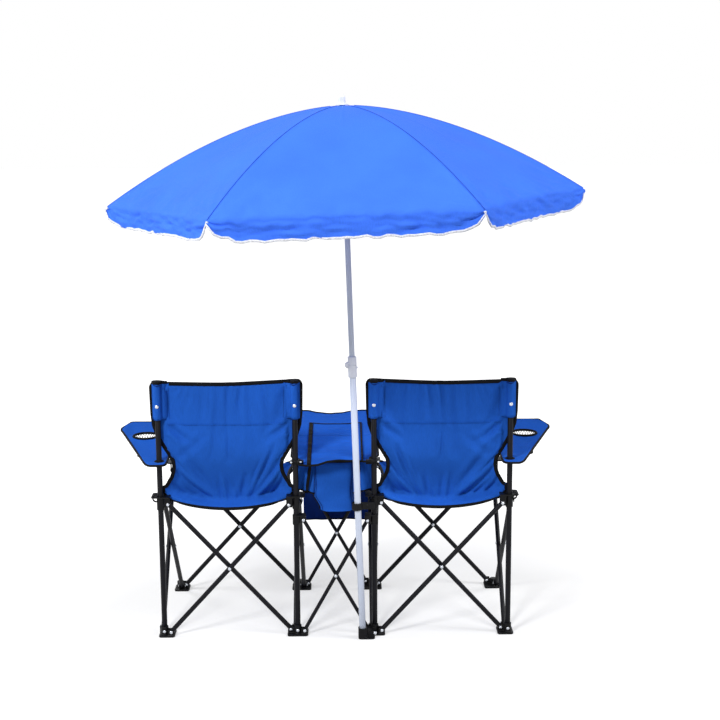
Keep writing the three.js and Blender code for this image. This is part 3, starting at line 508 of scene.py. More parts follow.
def domed_head(centre, axis, radius=RIVET_RADIUS, height=RIVET_HEIGHT):
    """A rivet's head, standing out from centre along axis."""
    profile = [(radius * 0.98, -RIVET_SINK), (radius, RIVET_EDGE)]
    for i in range(1, 6):
        turn = math.pi / 2 * i / 6
        profile.append((radius * math.cos(turn), RIVET_EDGE + (height - RIVET_EDGE) * math.sin(turn)))
    profile.append((radius * 0.05, height))
    return turned(profile, centre, axis, 20)


def make_bars():
    """The crossed bars, with a rivet at each pivot and one at each crossing."""
    for node in NODES:
        if "_bar_" not in node:
            continue
        low, high = ends_of(node)
        along = (high - low).normalized()
        radius = MIDDLE_BAR_RADIUS if "_middle_" in node else SEAT_BAR_RADIUS
        across = Vector((1, 0, 0)) if node.startswith("side_") else Vector((0, 1, 0))
        shape = Shape().add(*capped(low, high, radius))
        for pivot in (low + along * BAR_END, high - along * BAR_END):
            for hand in (-1, 1):
                shape.add(*domed_head(pivot + across * hand * (radius + CHEEK_OUTSIDE), across * hand), 1)
        cross = cross_of(node, across)
        if cross:
            place, hand = cross
            shape.add(*domed_head(place + across * hand * radius, across * hand), 1)
        piece = shape.build(f"{node}_tube", [steel, zinc])
        finish(piece, BODY_OF[node], [node])


def cross_of(node, across):
    """Where the bar's axis passes its crossing, and on which side its rivet's head lies."""
    low, high = ends_of(node)
    best = None
    for joint in JOINTS.values():
        if not joint["name"].endswith("_cross"):
            continue
        place = Vector(joint["pos_m"])
        t = (place - low).dot(high - low) / (high - low).length_squared
        near = low + (high - low) * t
        gap = near - place
        aside = gap.dot(across)
        if (gap - across * aside).length < 0.004 and abs(aside) < 0.02:
            best = (near, 1 if aside > 0 else -1)
    return best


def make_posts():
    """The four rear posts."""
    for name in COLUMNS:
        node = f"rear_post_{name}"
        low, high = ends_of(node)
        piece = Shape().add(*hollow_tube(low, high, POST_RADIUS, TUBE_WALL)).build(f"{node}_tube", [steel])
        finish(piece, BODY_OF[node], [node])


def moulded(node, material, cut=None, voxel=VOXEL):
    """The node's own form with the soft edges of a moulding. cut is a height above which it is left out."""
    name = f"{node}_moulding"
    mesh = NODES[node].data.copy()
    mesh.name = name
    piece = bpy.data.objects.new(name, mesh)
    bpy.context.scene.collection.objects.link(piece)
    form = bmesh.new()
    form.from_mesh(mesh)
    bmesh.ops.remove_doubles(form, verts=form.verts, dist=WELD)
    if cut is not None:
        geometry = form.verts[:] + form.edges[:] + form.faces[:]
        result = bmesh.ops.bisect_plane(form, geom=geometry, plane_co=(0, 0, cut), plane_no=(0, 0, 1),
                                        clear_outer=True)
        edges = [item for item in result["geom_cut"] if isinstance(item, bmesh.types.BMEdge)]
        bmesh.ops.holes_fill(form, edges=edges)
        bmesh.ops.triangulate(form, faces=form.faces)
    form.to_mesh(mesh)
    form.free()
    remesh = piece.modifiers.new("remesh", "REMESH")
    remesh.mode = "VOXEL"
    remesh.voxel_size = voxel
    smoothing = piece.modifiers.new("smooth", "SMOOTH")
    smoothing.factor = 0.5
    smoothing.iterations = SMOOTHING
    apply_modifiers(piece)
    piece.data.materials.clear()
    piece.data.materials.append(material)
    piece.data.polygons.foreach_set("use_smooth", [True] * len(piece.data.polygons))
    return finish(piece, BODY_OF[node], [node])


def apply_modifiers(piece):
    """Give a piece the mesh that its modifiers make."""
    bpy.context.view_layer.update()
    evaluated = piece.evaluated_get(bpy.context.evaluated_depsgraph_get())
    mesh = bpy.data.meshes.new_from_object(evaluated)
    piece.modifiers.clear()
    piece.data = mesh


def make_mouldings():
    """The feet and hubs, and the tubes that stand in the front ones."""
    for node in NODES:
        if "_foot_" in node or "_hub_" in node:
            has_tube = "arm_tube" in node
            cut = None
            if has_tube:
                cut = HUB_TOP if "outer" in node else middle_hub_top()
            moulded(node, plastic, cut)
            if has_tube:
                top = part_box(node)[1].z
                column = node.split("arm_tube_")[1]
                x = COLUMN_X[column]
                tube = hollow_tube((x, FRONT_Y, cut - TUBE_SINK), (x, FRONT_Y, top), POST_RADIUS, TUBE_WALL)
                piece = Shape().add(*tube).build(f"arm_tube_{column}", [steel])
                finish(piece, BODY_OF[node])


def make_foot_rivets():
    """The rivets that hold the posts in their feet."""
    for name in COLUMNS:
        node = f"rear_foot_{name}"
        mesh = NODES[node].data
        points = [vertex.co for vertex in mesh.vertices]
        tree = BVHTree.FromPolygons(points, [face.vertices[:] for face in mesh.polygons])
        hit, *_ = tree.ray_cast(Vector((COLUMN_X[name], -1, FOOT_PIVOT_Z)), Vector((0, 1, 0)))
        if hit:
            head = Shape().add(*domed_head(hit, Vector((0, -1, 0)))).build(f"{node}_rivet", [zinc])
            finish(head, BODY_OF[node])


def middle_hub_top():
    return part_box("rear_middle_hub_inner_left")[1].z


def make_umbrella():
    """The poles, the knuckle, the finial and the clamp."""
    for node, radius in POLE_RADII.items():
        tube = hollow_tube(*ends_of(node), radius, POLE_WALL, POLE_SIDES)
        piece = Shape().add(*tube).build(f"{node}_tube", [white_paint])
        finish(piece, BODY_OF[node], [node])
    for node, voxel in FINE_VOXELS.items():
        moulded(node, white_plastic, voxel=voxel)
    moulded("pole_clamp", plastic)
    for node in ("crown_and_ribs", "runner_and_struts"):
        NODES[node].data.materials[0] = zinc
    NODES["knuckle_latch"].data.materials[0] = white_plastic


# Scenery

CAMERA_PLACE = (0.024, -4.5447, 1.8459)
CAMERA_YAW, CAMERA_PITCH, CAMERA_ROLL = -0.565, 10.874, -0.348
CAMERA_LENS = 69.97
CAMERA_REACH = 60
DAYLIGHT = 0.22
FLOOR_REACH = 30
FLOOR_DROP = 0.0005
FLOOR_COLOUR = (0.5, 0.5, 0.5)
FLOOR_LIFT = 0.5               # how much of its own white the floor shows near the chairs, and all further out
FLOOR_FADE = (0.9, 2.2)        # from the middle to where the lift starts to grow and where it is whole
LAMPS = (                      # name, place, size and power
    ("key", (-2.6, -3.9, 4.3), 1.3, 265), ("side_right", (4.4, -1.2, 4.4), 2.2, 210),
    ("side_left", (-4.4, 0.6, 4.4), 2.2, 130),
)
LAMP_AIM = Vector((0, 0, 0.9))


def make_camera():
    """A camera at the photograph's place."""
    camera = bpy.data.cameras.new("camera")
    camera.lens = CAMERA_LENS
    camera.clip_end = CAMERA_REACH
    holder = bpy.data.objects.new("camera", camera)
    turn = Matrix.Rotation(math.radians(CAMERA_YAW), 3, "Z")
    turn = turn @ Matrix.Rotation(math.radians(90 - CAMERA_PITCH), 3, "X")
    turn = turn @ Matrix.Rotation(math.radians(CAMERA_ROLL), 3, "Z")
    holder.location = CAMERA_PLACE
    holder.rotation_euler = turn.to_euler()
    bpy.context.scene.collection.objects.link(holder)
    bpy.context.scene.camera = holder


def seen_rays(tree):
    """1 where a ray comes from the camera, or by way of a gloss or a clear surface, and 0 elsewhere."""
    path = tree.nodes.new("ShaderNodeLightPath")
    total = path.outputs["Is Camera Ray"]
    for name in ("Is Glossy Ray", "Is Transmission Ray"):
        node = tree.nodes.new("ShaderNodeMath")
        node.operation = "MAXIMUM"
        tree.links.new(total, node.inputs[0])
        tree.links.new(path.outputs[name], node.inputs[1])
        total = node.outputs[0]
    return total


def white_floor():
    """A pale floor that looks white where no shadow falls on it."""
    surface = Surface("floor", FLOOR_COLOUR, 0.9)
    tree = surface.tree
    surface.shaded(surface.varied(surface.noise(3.0), 0.99, 1.0))
    squares = [surface.math("MULTIPLY", way, way) for way in (surface.x, surface.y)]
    lift = surface.spread(surface.math("SQRT", surface.math("ADD", *squares)), *FLOOR_FADE, FLOOR_LIFT, 1.0)
    glow = tree.nodes.new("ShaderNodeEmission")
    tree.links.new(surface.math("MULTIPLY", seen_rays(tree), lift), glow.inputs["Strength"])
    both = tree.nodes.new("ShaderNodeAddShader")
    tree.links.new(surface.shader.outputs[0], both.inputs[0])
    tree.links.new(glow.outputs[0], both.inputs[1])
    output = next(node for node in tree.nodes if node.type == "OUTPUT_MATERIAL")
    tree.links.new(both.outputs[0], output.inputs["Surface"])
    return surface.material


def make_stage():
    """The floor, the sky and the lamps."""
    corners = [(FLOOR_REACH * x, FLOOR_REACH * y, 0) for x, y in ((-1, -1), (1, -1), (1, 1), (-1, 1))]
    floor = Shape().add(corners, [[0, 1, 2, 3]]).build("floor", [white_floor()])
    floor.location.z = -FLOOR_DROP
    world = bpy.data.worlds.new("world")
    bpy.context.scene.world = world
    world.use_nodes = True
    tree = world.node_tree
    background = tree.nodes["Background"]
    background.inputs["Color"].default_value = (1, 1, 1, 1)
    level = tree.nodes.new("ShaderNodeMapRange")
    tree.links.new(seen_rays(tree), level.inputs["Value"])
    level.inputs["To Min"].default_value = DAYLIGHT
    level.inputs["To Max"].default_value = 1
    tree.links.new(level.outputs[0], background.inputs["Strength"])
    for name, place, size, energy in LAMPS:
        lamp = bpy.data.lights.new(name, "AREA")
        lamp.shape = "DISK"
        lamp.size = size
        lamp.energy = energy
        holder = bpy.data.objects.new(name, lamp)
        holder.location = place
        holder.rotation_euler = (LAMP_AIM - Vector(place)).to_track_quat("-Z", "Y").to_euler()
        bpy.context.scene.collection.objects.link(holder)


# Cloth of the chairs

CLOTH = 0.0016                 # thickness
BACK_AHEAD = 0.0135            # from the posts' plane forward to the back panel
BACK_TOP = POST_TOP - 0.002
TOP_CORNER = 0.018
SEAT_HALF = 0.222
SEAT_Z = HUB_TOP + 0.004
SEAT_BEND = 0.024
SLEEVE_BOTTOM = 0.766
SEAM_HEIGHT = 0.750            # of the seam across the back
REAR_SAG, MIDDLE_SAG, FRONT_SAG = 0.054, 0.060, 0.028
SEAT_FRONT_INSET = 0.016
BACK_ROWS, BEND_ROWS, SEAT_ROWS, CLOTH_COLUMNS = 72, 6, 66, 84
BACK_LENGTH = BACK_TOP - SEAT_Z - SEAT_BEND
BEND_LENGTH = SEAT_BEND * math.pi / 2
SEAT_LENGTH = FRAME_DEPTH - SEAT_FRONT_INSET - BACK_AHEAD - SEAT_BEND
SEAT_WAIST = 0.022
SLEEVE_HALF = 0.205            # from a panel's middle to where its pockets hold it
BACK_HELD_HALF = 0.203         # to where the posts hold the back below its pockets
SEAT_HELD_HALF = 0.213         # to where the seat's edges hold
HELD_ROWS = 3                  # rows and columns along every edge that stay where they are drawn
SEAM_WIDTH, SEAM_THICKNESS = 0.0105, 0.0044
EDGE_HEIGHTS = (0.504, 0.520, 0.540, 0.566, 0.585, 0.605, 0.623, 0.650, 0.676, 0.710, 0.745, 0.785, 0.893)
EDGE_HALVES = (0.226, 0.222, 0.210, 0.195, 0.189, 0.187, 0.190, 0.206, 0.222, 0.240, 0.251, 0.255, 0.257)
# The folds of a back panel: from, to, half width and height, in metres from its middle and the floor
BACK_FOLDS = (
    ((-0.187, 0.602), (-0.015, 0.492), 0.0085, 0.0109), ((0.187, 0.612), (0.052, 0.494), 0.0085, -0.0105),
    ((-0.190, 0.572), (-0.075, 0.478), 0.0076, -0.0099), ((0.192, 0.575), (0.100, 0.480), 0.0076, 0.0095),
    ((-0.215, 0.540), (-0.120, 0.480), 0.0068, 0.0080), ((0.160, 0.690), (0.095, 0.545), 0.0076, 0.0080),
    ((0.120, 0.640), (0.075, 0.555), 0.0051, -0.0063), ((0.000, 0.735), (0.004, 0.650), 0.0043, 0.0048),
    ((-0.235, 0.760), (-0.110, 0.690), 0.0102, 0.0080), ((0.235, 0.762), (0.120, 0.700), 0.0102, 0.0073),
    ((0.050, 0.880), (0.035, 0.800), 0.0068, 0.0042), ((-0.150, 0.660), (-0.060, 0.560), 0.0119, 0.0069),
    ((-0.020, 0.600), (-0.010, 0.500), 0.0076, -0.0073), ((0.030, 0.560), (0.022, 0.488), 0.0059, 0.0069),
    ((-0.205, 0.545), (-0.050, 0.512), 0.0230, 0.0150), ((0.212, 0.552), (0.060, 0.512), 0.0230, 0.0170),
    ((0.060, 0.600), (0.030, 0.500), 0.0090, 0.0080), ((0.145, 0.640), (0.080, 0.520), 0.0070, -0.0070),
    ((-0.060, 0.720), (-0.170, 0.640), 0.0120, 0.0050), ((0.010, 0.900), (-0.004, 0.790), 0.0080, 0.0040),
)
# The same for a seat, with metres ahead of the posts in place of the height
SEAT_FOLDS = (
    ((-0.215, 0.040), (-0.050, 0.190), 0.0102, 0.0105), ((0.215, 0.040), (0.050, 0.180), 0.0102, -0.0095),
    ((-0.215, 0.440), (-0.070, 0.300), 0.0102, -0.0095), ((0.215, 0.440), (0.060, 0.310), 0.0102, 0.0099),
    ((-0.030, 0.050), (-0.010, 0.200), 0.0085, 0.0080), ((0.060, 0.060), (0.040, 0.170), 0.0076, -0.0069),
    ((-0.120, 0.470), (-0.050, 0.380), 0.0085, 0.0080), ((0.110, 0.470), (0.050, 0.390), 0.0085, -0.0073),
)


def edge_half(height):
    """Half of a back's width at a height."""
    return float(np.interp(height, EDGE_HEIGHTS, EDGE_HALVES))


def folds(table, x, along):
    """How far the folds in a table lift the cloth at a place."""
    total = 0
    for (x0, y0), (x1, y1), width, height in table:
        dx, dy = x1 - x0, y1 - y0
        length = math.hypot(dx, dy)
        t = ((x - x0) * dx + (along - y0) * dy) / length ** 2
        if not -0.15 < t < 1.15:
            continue
        aside = ((x - x0) * dy - (along - y0) * dx) / length
        taper = math.sin(math.pi * (t + 0.15) / 1.3) ** 1.5
        wave = math.exp(-(aside / width) ** 2) - 0.45 * math.exp(-((abs(aside) - 1.8 * width) / width) ** 2)
        total += height * taper * wave
    return total


def dip_across(side):
    """The share of the sag at a place across the cloth, 0 at its edges and 1 in the middle."""
    side = min(abs(side), 1)
    return 0.42 * smoothstep(0, 1, (1 - side) / 0.13) + 0.58 * (1 - side * side) ** 1.3


def tucked(s):
    """How far the back's lower part swings forward, above the lip where it meets the seat."""
    swing = 0.042 * smoothstep(BACK_LENGTH - 0.170, BACK_LENGTH - 0.014, s)
    lip = 0.048 * smoothstep(BACK_LENGTH - 0.008, BACK_LENGTH + 0.018, s)
    return (swing - lip) * smoothstep(BACK_LENGTH + BEND_LENGTH + 0.05, BACK_LENGTH + BEND_LENGTH, s)


def hammock_point(side, s, hand):
    """A point of the cloth, s metres down from its top edge, and side from -1 to 1 across it."""
    dip = dip_across(side)
    y = REAR_Y + BACK_AHEAD + tucked(s) * (1 - side * side) ** 0.5 * smoothstep(0, 0.12, 1 - abs(side))
    if s < BACK_LENGTH:
        height = BACK_TOP - s
        share = 1 - smoothstep(SEAT_Z, SLEEVE_BOTTOM, height)
        drop = REAR_SAG * dip * share ** 1.4
        half = edge_half(height)
        if s < TOP_CORNER:
            half -= TOP_CORNER - math.sqrt(TOP_CORNER ** 2 - (TOP_CORNER - s) ** 2)
        x = side * half
        top = 1 - smoothstep(0, 0.05, s)
        height += top * (0.004 * side * side - 0.004 + 0.003 * hand * side)
        billow = 0.010 * dip * math.sin(math.pi * min(share * 1.15, 1)) + 0.004 * dip * (1 - share)
        doubled = 0.0009 * smoothstep(SEAM_HEIGHT - 0.003, SEAM_HEIGHT + 0.003, height)
        back = billow + doubled - folds(BACK_FOLDS, x * hand, height)
        if abs(x) > SLEEVE_HALF:
            back = min(back, 0.001)
        return x, y - back, height - drop
    turn = min((s - BACK_LENGTH) / SEAT_BEND, math.pi / 2)
    forward = max(s - BACK_LENGTH - BEND_LENGTH, 0)
    share = forward / SEAT_LENGTH
    sag = mix(REAR_SAG, FRONT_SAG, share) + (MIDDLE_SAG - (REAR_SAG + FRONT_SAG) / 2) * math.sin(math.pi * share)
    height = SEAT_Z + SEAT_BEND * (1 - math.sin(turn)) - sag * dip
    waist = SEAT_WAIST * max(math.sin(math.pi * share), 0) ** 1.2
    half = mix(edge_half(SEAT_Z), SEAT_HALF, smoothstep(0, 0.15, share)) - waist
    height += folds(SEAT_FOLDS, side * half * hand, forward) * min(1, forward / 0.05)
    return side * half, y + SEAT_BEND * (1 - math.cos(turn)) + forward, height


def hammock_rows():
    """How far down the cloth each row of its grid lies."""
    back = [BACK_LENGTH * i / BACK_ROWS for i in range(BACK_ROWS)]
    bend = [BACK_LENGTH + BEND_LENGTH * i / BEND_ROWS for i in range(BEND_ROWS)]
    seat = [BACK_LENGTH + BEND_LENGTH + SEAT_LENGTH * i / SEAT_ROWS for i in range(SEAT_ROWS + 1)]
    return back + bend + seat


SETTLE_FRAMES = 18
SETTLE_REACH = 0.008           # the furthest that settling may move a point
SETTLE_SLACK = 0.028           # the share by which the cloth is longer than drawn


def settled(grid, pinned):
    """A grid's cloth once it has hung for a moment: pinned points stay, and the rest creases where it is slack."""
    rows, ring = grid.shape[:2]
    faces = [[j * ring + i, j * ring + i + 1, (j + 1) * ring + i + 1, (j + 1) * ring + i]
             for j in range(rows - 1) for i in range(ring - 1)]
    piece = Shape().add(grid.reshape(-1, 3), faces).build("settling", [])
    group = piece.vertex_groups.new(name="pinned")
    group.add([int(i) for i in np.flatnonzero(pinned.ravel())], 1, "REPLACE")
    cloth = piece.modifiers.new("cloth", "CLOTH")
    settings = cloth.settings
    settings.quality = 7
    settings.mass = 0.15
    settings.vertex_group_mass = "pinned"
    settings.tension_stiffness = settings.compression_stiffness = 30
    settings.shear_stiffness = 12
    settings.bending_stiffness = 0.03
    settings.air_damping = 2
    settings.shrink_min = -SETTLE_SLACK
    settings.effector_weights.gravity = 0.25
    cloth.collision_settings.use_collision = False
    cloth.point_cache.frame_start, cloth.point_cache.frame_end = 1, SETTLE_FRAMES
    scene = bpy.context.scene
    for number in range(1, SETTLE_FRAMES + 1):
        scene.frame_set(number)
    evaluated = piece.evaluated_get(bpy.context.evaluated_depsgraph_get())
    moved = np.empty(rows * ring * 3)
    evaluated.data.vertices.foreach_get("co", moved)
    shift = moved.reshape(grid.shape) - grid
    far = np.linalg.norm(shift, axis=2, keepdims=True)
    shift *= np.tanh(far / SETTLE_REACH) * SETTLE_REACH / np.maximum(far, 1e-9)
    bpy.data.objects.remove(piece)
    scene.frame_set(1)
    return grid + shift


def edge_path(grid, picks, inset):
    """Points a little inside a grid's edge, with the cloth's normals there. A pick is (row, column)."""
    normals = grid_normals(grid)
    rows, ring = grid.shape[:2]
    path, ups = [], []
    for j, i in picks:
        inward = np.zeros(3)
        if i in (0, ring - 1):
            inward += grid[j, 1 if i == 0 else ring - 2] - grid[j, i]
        if j in (0, rows - 1):
            inward += grid[1 if j == 0 else rows - 2, i] - grid[j, i]
        path.append(Vector(grid[j, i] + inset * inward / max(np.linalg.norm(inward), 1e-9)))
        ups.append(Vector(normals[j, i]))
    return path, ups


def strip(path, ups, width, thickness, flat=0.92, closed=False):
    """A tape along a path, rounded at its edges outside the flat share of its width."""
    a, b = width / 2, thickness / 2
    section = [(-a, -b * 0.5), (-a * flat, -b), (a * flat, -b), (a, -b * 0.5),
               (a, b * 0.5), (a * flat, b), (-a * flat, b), (-a, b * 0.5)]
    return swept(path, 1, closed=closed, section=section, ups=ups)


TAPE_WIDTH, TAPE_THICKNESS = 0.0130, 0.0042
PIPING_RADIUS, BAG_PIPING_RADIUS, HEM_RADIUS, CORD_RADIUS = 0.0038, 0.0030, 0.0026, 0.0009
STITCH_PITCH, STITCH_LENGTH, STITCH_RADIUS = 0.0046, 0.003, 0.00045


def stitched(shape, path, ups, lift=0.0012):
    """A row of stitches in the second material along a path, on the side that ups point away from."""
    lengths = [0]
    for a, b in zip(path, path[1:]):
        lengths.append(lengths[-1] + (b - a).length)

    def at(distance):
        i = min(max(int(np.searchsorted(lengths, distance)), 1), len(path) - 1)
        t = (distance - lengths[i - 1]) / max(lengths[i] - lengths[i - 1], 1e-9)
        return path[i - 1].lerp(path[i], t) - ups[i].normalized() * lift

    for k in range(int(lengths[-1] / STITCH_PITCH)):
        start, end = at(k * STITCH_PITCH), at(k * STITCH_PITCH + STITCH_LENGTH)
        away = -ups[0].normalized() * STITCH_RADIUS * 1.4
        shape.add(*swept([start, (start + end) / 2 + away, end], STITCH_RADIUS, 5), 1)


def make_chair(bay, outer, inner, hand):
    """A chair's cloth in one drape, parted where the back and the two halves of the seat fold."""
    centre = (COLUMN_X[outer] + COLUMN_X[inner]) / 2
    rows = hammock_rows()
    grid = grid_of(lambda i, j: hammock_point(1 - 2 * i / CLOTH_COLUMNS, rows[j], hand),
                   CLOTH_COLUMNS, len(rows) - 1)
    aside, down = np.abs(grid[:, :, 0]), np.array(rows)[:, None]
    heights = BACK_TOP - down
    pinned = (heights > SLEEVE_BOTTOM) & (aside > SLEEVE_HALF)
    pinned |= (down > BACK_LENGTH - 0.02) & (aside > SEAT_HELD_HALF)
    pinned[:HELD_ROWS] = pinned[-HELD_ROWS:] = True
    pinned[:, :HELD_ROWS] = pinned[:, -HELD_ROWS:] = True
    grid = settled(grid, pinned)
    back = (heights > SEAT_Z + 0.03) & (np.abs(grid[:, :, 0]) > BACK_HELD_HALF)
    grid[:, :, 1] = np.where(back, np.maximum(grid[:, :, 1], REAR_Y + BACK_AHEAD - 0.001), grid[:, :, 1])
    grid[:, :, 0] += centre
    back_end = BACK_ROWS + BEND_ROWS // 2
    middle = BACK_ROWS + BEND_ROWS + SEAT_ROWS // 2
    last = CLOTH_COLUMNS
    node = f"{bay}_seat_and_back"
    parts = [
        (f"{bay}_back", grid[:back_end + 1], f"column_{inner}"),
        (f"{bay}_seat_rear", grid[back_end:middle + 1], f"side_bar_{inner}_rising_rear"),
        (f"{bay}_seat_front", grid[middle:], f"side_bar_{inner}_rising_front"),
    ]

    def flattened(piece):
        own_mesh(piece)

    for name, part, body in parts:
        end = len(part) - 1
        left, right = [(j, 0) for j in range(end + 1)], [(j, last) for j in range(end + 1)]
        across = [(0, i) for i in range(2, last - 1, 2)]
        edges = [left, right]
        seams = []
        if name.endswith("back"):
            edges = [left[::-1] + across + right]
            seams = [[(end, i) for i in range(0, last + 1, 2)]]
        elif name.endswith("front"):
            edges = [left + [(end, i) for _, i in across] + right[::-1]]
        tape = Shape()
        for picks in edges:
            tape.add(*strip(*edge_path(part, picks, TAPE_WIDTH / 2 - 0.001), TAPE_WIDTH, TAPE_THICKNESS))
        for picks in seams:
            tape.add(*strip(*edge_path(part, picks, 0), SEAM_WIDTH, SEAM_THICKNESS))
        trim = tape.build(f"{name}_binding", [binding])
        finish(trim, body)
        piece = Shape().add(*thick_grid(part, CLOTH)).build(name, [blue_cloth])
        finish(piece, body, [node] if name.endswith("back") else ())
        for one in (trim, piece):
            flattened(one)
    sewing = make_back_sewing(bay, grid[:back_end + 1], centre)
    finish(sewing, f"column_{inner}")
    flattened(sewing)
    for column in (outer, inner):
        make_pocket(bay, column, centre)


def make_back_sewing(bay, back, centre):
    """The seam across the back and the stitches beside its pockets."""
    normals = grid_normals(back)
    shape = Shape()
    last = back.shape[1] - 1
    down = [int(np.argmin(np.abs(back[:, i, 2] - SEAM_HEIGHT))) for i in range(last + 1)]
    picks = [(down[last // 2], i) for i in range(9, last - 8)]
    path = [Vector(back[pick]) for pick in picks]
    ups = [-Vector(normals[pick]) if normals[pick][1] < 0 else Vector(normals[pick]) for pick in picks]
    shape.add(*swept([a - b * 0.001 for a, b in zip(path, ups)], CORD_RADIUS, 6))
    lowered = [point - Vector((0, 0, 0.005)) for point in path]
    stitched(shape, lowered, ups)
    for side in (-1, 1):
        for inset in (0.192, 0.203):
            x = centre + side * inset
            line, line_ups = [], []
            for j in range(3, down[last // 2] - 2):
                i = int(np.argmin(np.abs(back[j, :, 0] - x)))
                line.append(Vector((x, back[j, i, 1], back[j, i, 2])))
                line_ups.append(Vector((0, 1, 0)))
            stitched(shape, line, line_ups, 0.0014)
    return shape.build(f"{bay}_back_sewing", [blue_cloth, navy_seam_and_painted_shade_cloth])


def cloth_piece(grid, name, material, thickness=CLOTH, wraps=False):
    """A closed sheet round a grid, with its faces turned outward."""
    piece = Shape().add(*thick_grid(grid, thickness, wraps)).build(name, [material])
    fix_normals(piece)
    return piece


POCKET_RADIUS = 0.0122
POCKET_REACH = 0.033
POCKET_RIVET_HEIGHT = 0.813
POCKET_ROWS = 16


def make_pocket(bay, column, centre):
    """The pocket behind the post, from the cloth's outer edge round the post to its stitches."""
    x = COLUMN_X[column]
    inward = 1 if centre > x else -1
    ahead = BACK_AHEAD - CLOTH
    outline = [(-0.0175, ahead - 0.0030), (-0.0140, ahead - 0.006)]
    for i in range(15):
        turn = math.pi * (1.06 - 1.12 * i / 14)
        outline.append((POCKET_RADIUS * math.cos(turn), -POCKET_RADIUS * math.sin(turn)))
    outline += [(0.019, ahead - 0.006), (POCKET_REACH, ahead - 0.001)]
    grid = []
    for j in range(POCKET_ROWS + 1):
        share = j / POCKET_ROWS
        row = []
        for a, b in outline:
            round_post = max(0, 1 - abs(a) / 0.018)
            top = POST_TOP + 0.0012 + 0.001 * round_post
            slack = 1 + 0.05 * math.sin(9 * share + a * 200) * round_post
            if j == 0:
                b = mix(b, ahead - 0.002, 0.97)
            row.append((x + inward * a, REAR_Y + b * (slack if b < 0 else 1), mix(top, SLEEVE_BOTTOM, share ** 1.3)))
        grid.append(row)
    grid = np.array(grid)
    piece = cloth_piece(grid, f"{bay}_pocket_{column}", blue_cloth)
    finish(piece, f"column_{column}")
    mouth = Shape()
    mouth.add(*thick_grid(grid[:3], 3 * CLOTH), 2)
    notch = Vector((x + inward * 0.002, REAR_Y - POCKET_RADIUS - CLOTH, POST_TOP - 0.013))
    for end in (Vector((-0.012, 0.003, 0.004)), Vector((0.014, 0.004, 0.004))):
        mouth.add(*swept([notch, notch + Vector((inward * end.x, end.y, end.z))], [0.0019, 0.0007], 6))
    mouth.add(*swept(grid[-1], CORD_RADIUS, 6))
    head = Vector((x, REAR_Y - POCKET_RADIUS - CLOTH / 2, POCKET_RIVET_HEIGHT))
    mouth.add(*domed_head(head, Vector((0, -1, 0)), 0.0062, 0.0028), 1)
    trim = mouth.build(f"{bay}_pocket_hem_{column}", [navy_seam_and_painted_shade_cloth, zinc, binding])
    finish(trim, f"column_{column}")


# Arms

ARM_THICKNESS = 0.005
ARM_INBOARD = 0.026
ARM_REAR_OUT = 0.034
ARM_FRONT_OUT = 0.190
ARM_REAR_OVERHANG = 0.045
ARM_FRONT_OVERHANG = 0.012
ARM_CORNER = 0.024
ARM_WIDEST_BACK = 0.096
CUP_OUT = 0.086
CUP_AHEAD_OF_MIDDLE = 0.066
CUP_RADIUS = 0.041
CUP_FLOOR_RADIUS = 0.033
CUP_DEPTH = 0.070
NET_STRANDS, NET_STEPS, NET_RADIUS = 26, 14, 0.0008
ARM_CLOTH, ARM_PUFF, ARM_STEP = 0.003, 0.0015, 0.009


def bent(start, corner, end, steps=6):
    """A quadratic curve round a corner."""
    points = []
    for i in range(1, steps + 1):
        t = i / steps
        shares = (1 - t) ** 2, 2 * t * (1 - t), t * t
        points.append(tuple(shares[0] * a + shares[1] * b + shares[2] * c
                            for a, b, c in zip(start, corner, end)))
    return points


def arm_outline():
    """The right arm's outline, from above, with x outward from the post."""
    rear, front, corner = REAR_Y - ARM_REAR_OVERHANG, FRONT_Y + ARM_FRONT_OVERHANG, ARM_CORNER
    widest = front - ARM_WIDEST_BACK
    points = [(-ARM_INBOARD, rear + corner)]
    points += bent(points[-1], (-ARM_INBOARD, rear), (-ARM_INBOARD + corner, rear))
    points.append((ARM_REAR_OUT - corner / 2, rear))
    points += bent(points[-1], (ARM_REAR_OUT, rear), (ARM_REAR_OUT + corner / 2, rear + corner))
    points.append((ARM_FRONT_OUT - corner / 3, widest - corner / 2))
    points += bent(points[-1], (ARM_FRONT_OUT, widest), (ARM_FRONT_OUT, widest + corner))
    points.append((ARM_FRONT_OUT - corner, front - corner / 2))
    points += bent(points[-1], (ARM_FRONT_OUT - corner, front), (ARM_FRONT_OUT - 2 * corner, front))
    points.append((-ARM_INBOARD, front))
    return points


def filled(outline, holes, step):
    """Triangles that fill an outline with holes, with inner points about a step apart."""
    loops = [outline] + holes
    points, edges = [], []
    for loop in loops:
        base = len(points)
        points += [Vector(point) for point in loop]
        edges += [(base + i, base + (i + 1) % len(loop)) for i in range(len(loop))]

    def inside(point, loop):
        odd = False
        for (x0, y0), (x1, y1) in zip(loop, loop[1:] + loop[:1]):
            if (y0 > point[1]) != (y1 > point[1]) and point[0] < x0 + (point[1] - y0) / (y1 - y0) * (x1 - x0):
                odd = not odd
        return odd

    def clear(point):
        return all((Vector(point) - Vector(other)).length > step * 0.6 for loop in loops for other in loop)

    def kept(point):
        return inside(point, outline) and not any(inside(point, hole) for hole in holes)

    low = [min(point[i] for point in outline) for i in (0, 1)]
    high = [max(point[i] for point in outline) for i in (0, 1)]
    row = 0
    y = low[1]
    while y < high[1]:
        x = low[0] + (step / 2 if row % 2 else 0)
        while x < high[0]:
            if kept((x, y)) and clear((x, y)):
                points.append(Vector((x, y)))
            x += step
        y += step * 0.866
        row += 1
    flat, _, faces, *_ = delaunay_2d_cdt(points, edges, [], 0, 1e-7)
    faces = [face for face in faces if kept(tuple(sum((flat[i] for i in face), Vector((0, 0))) / len(face)))]
    return [tuple(point) for point in flat], faces


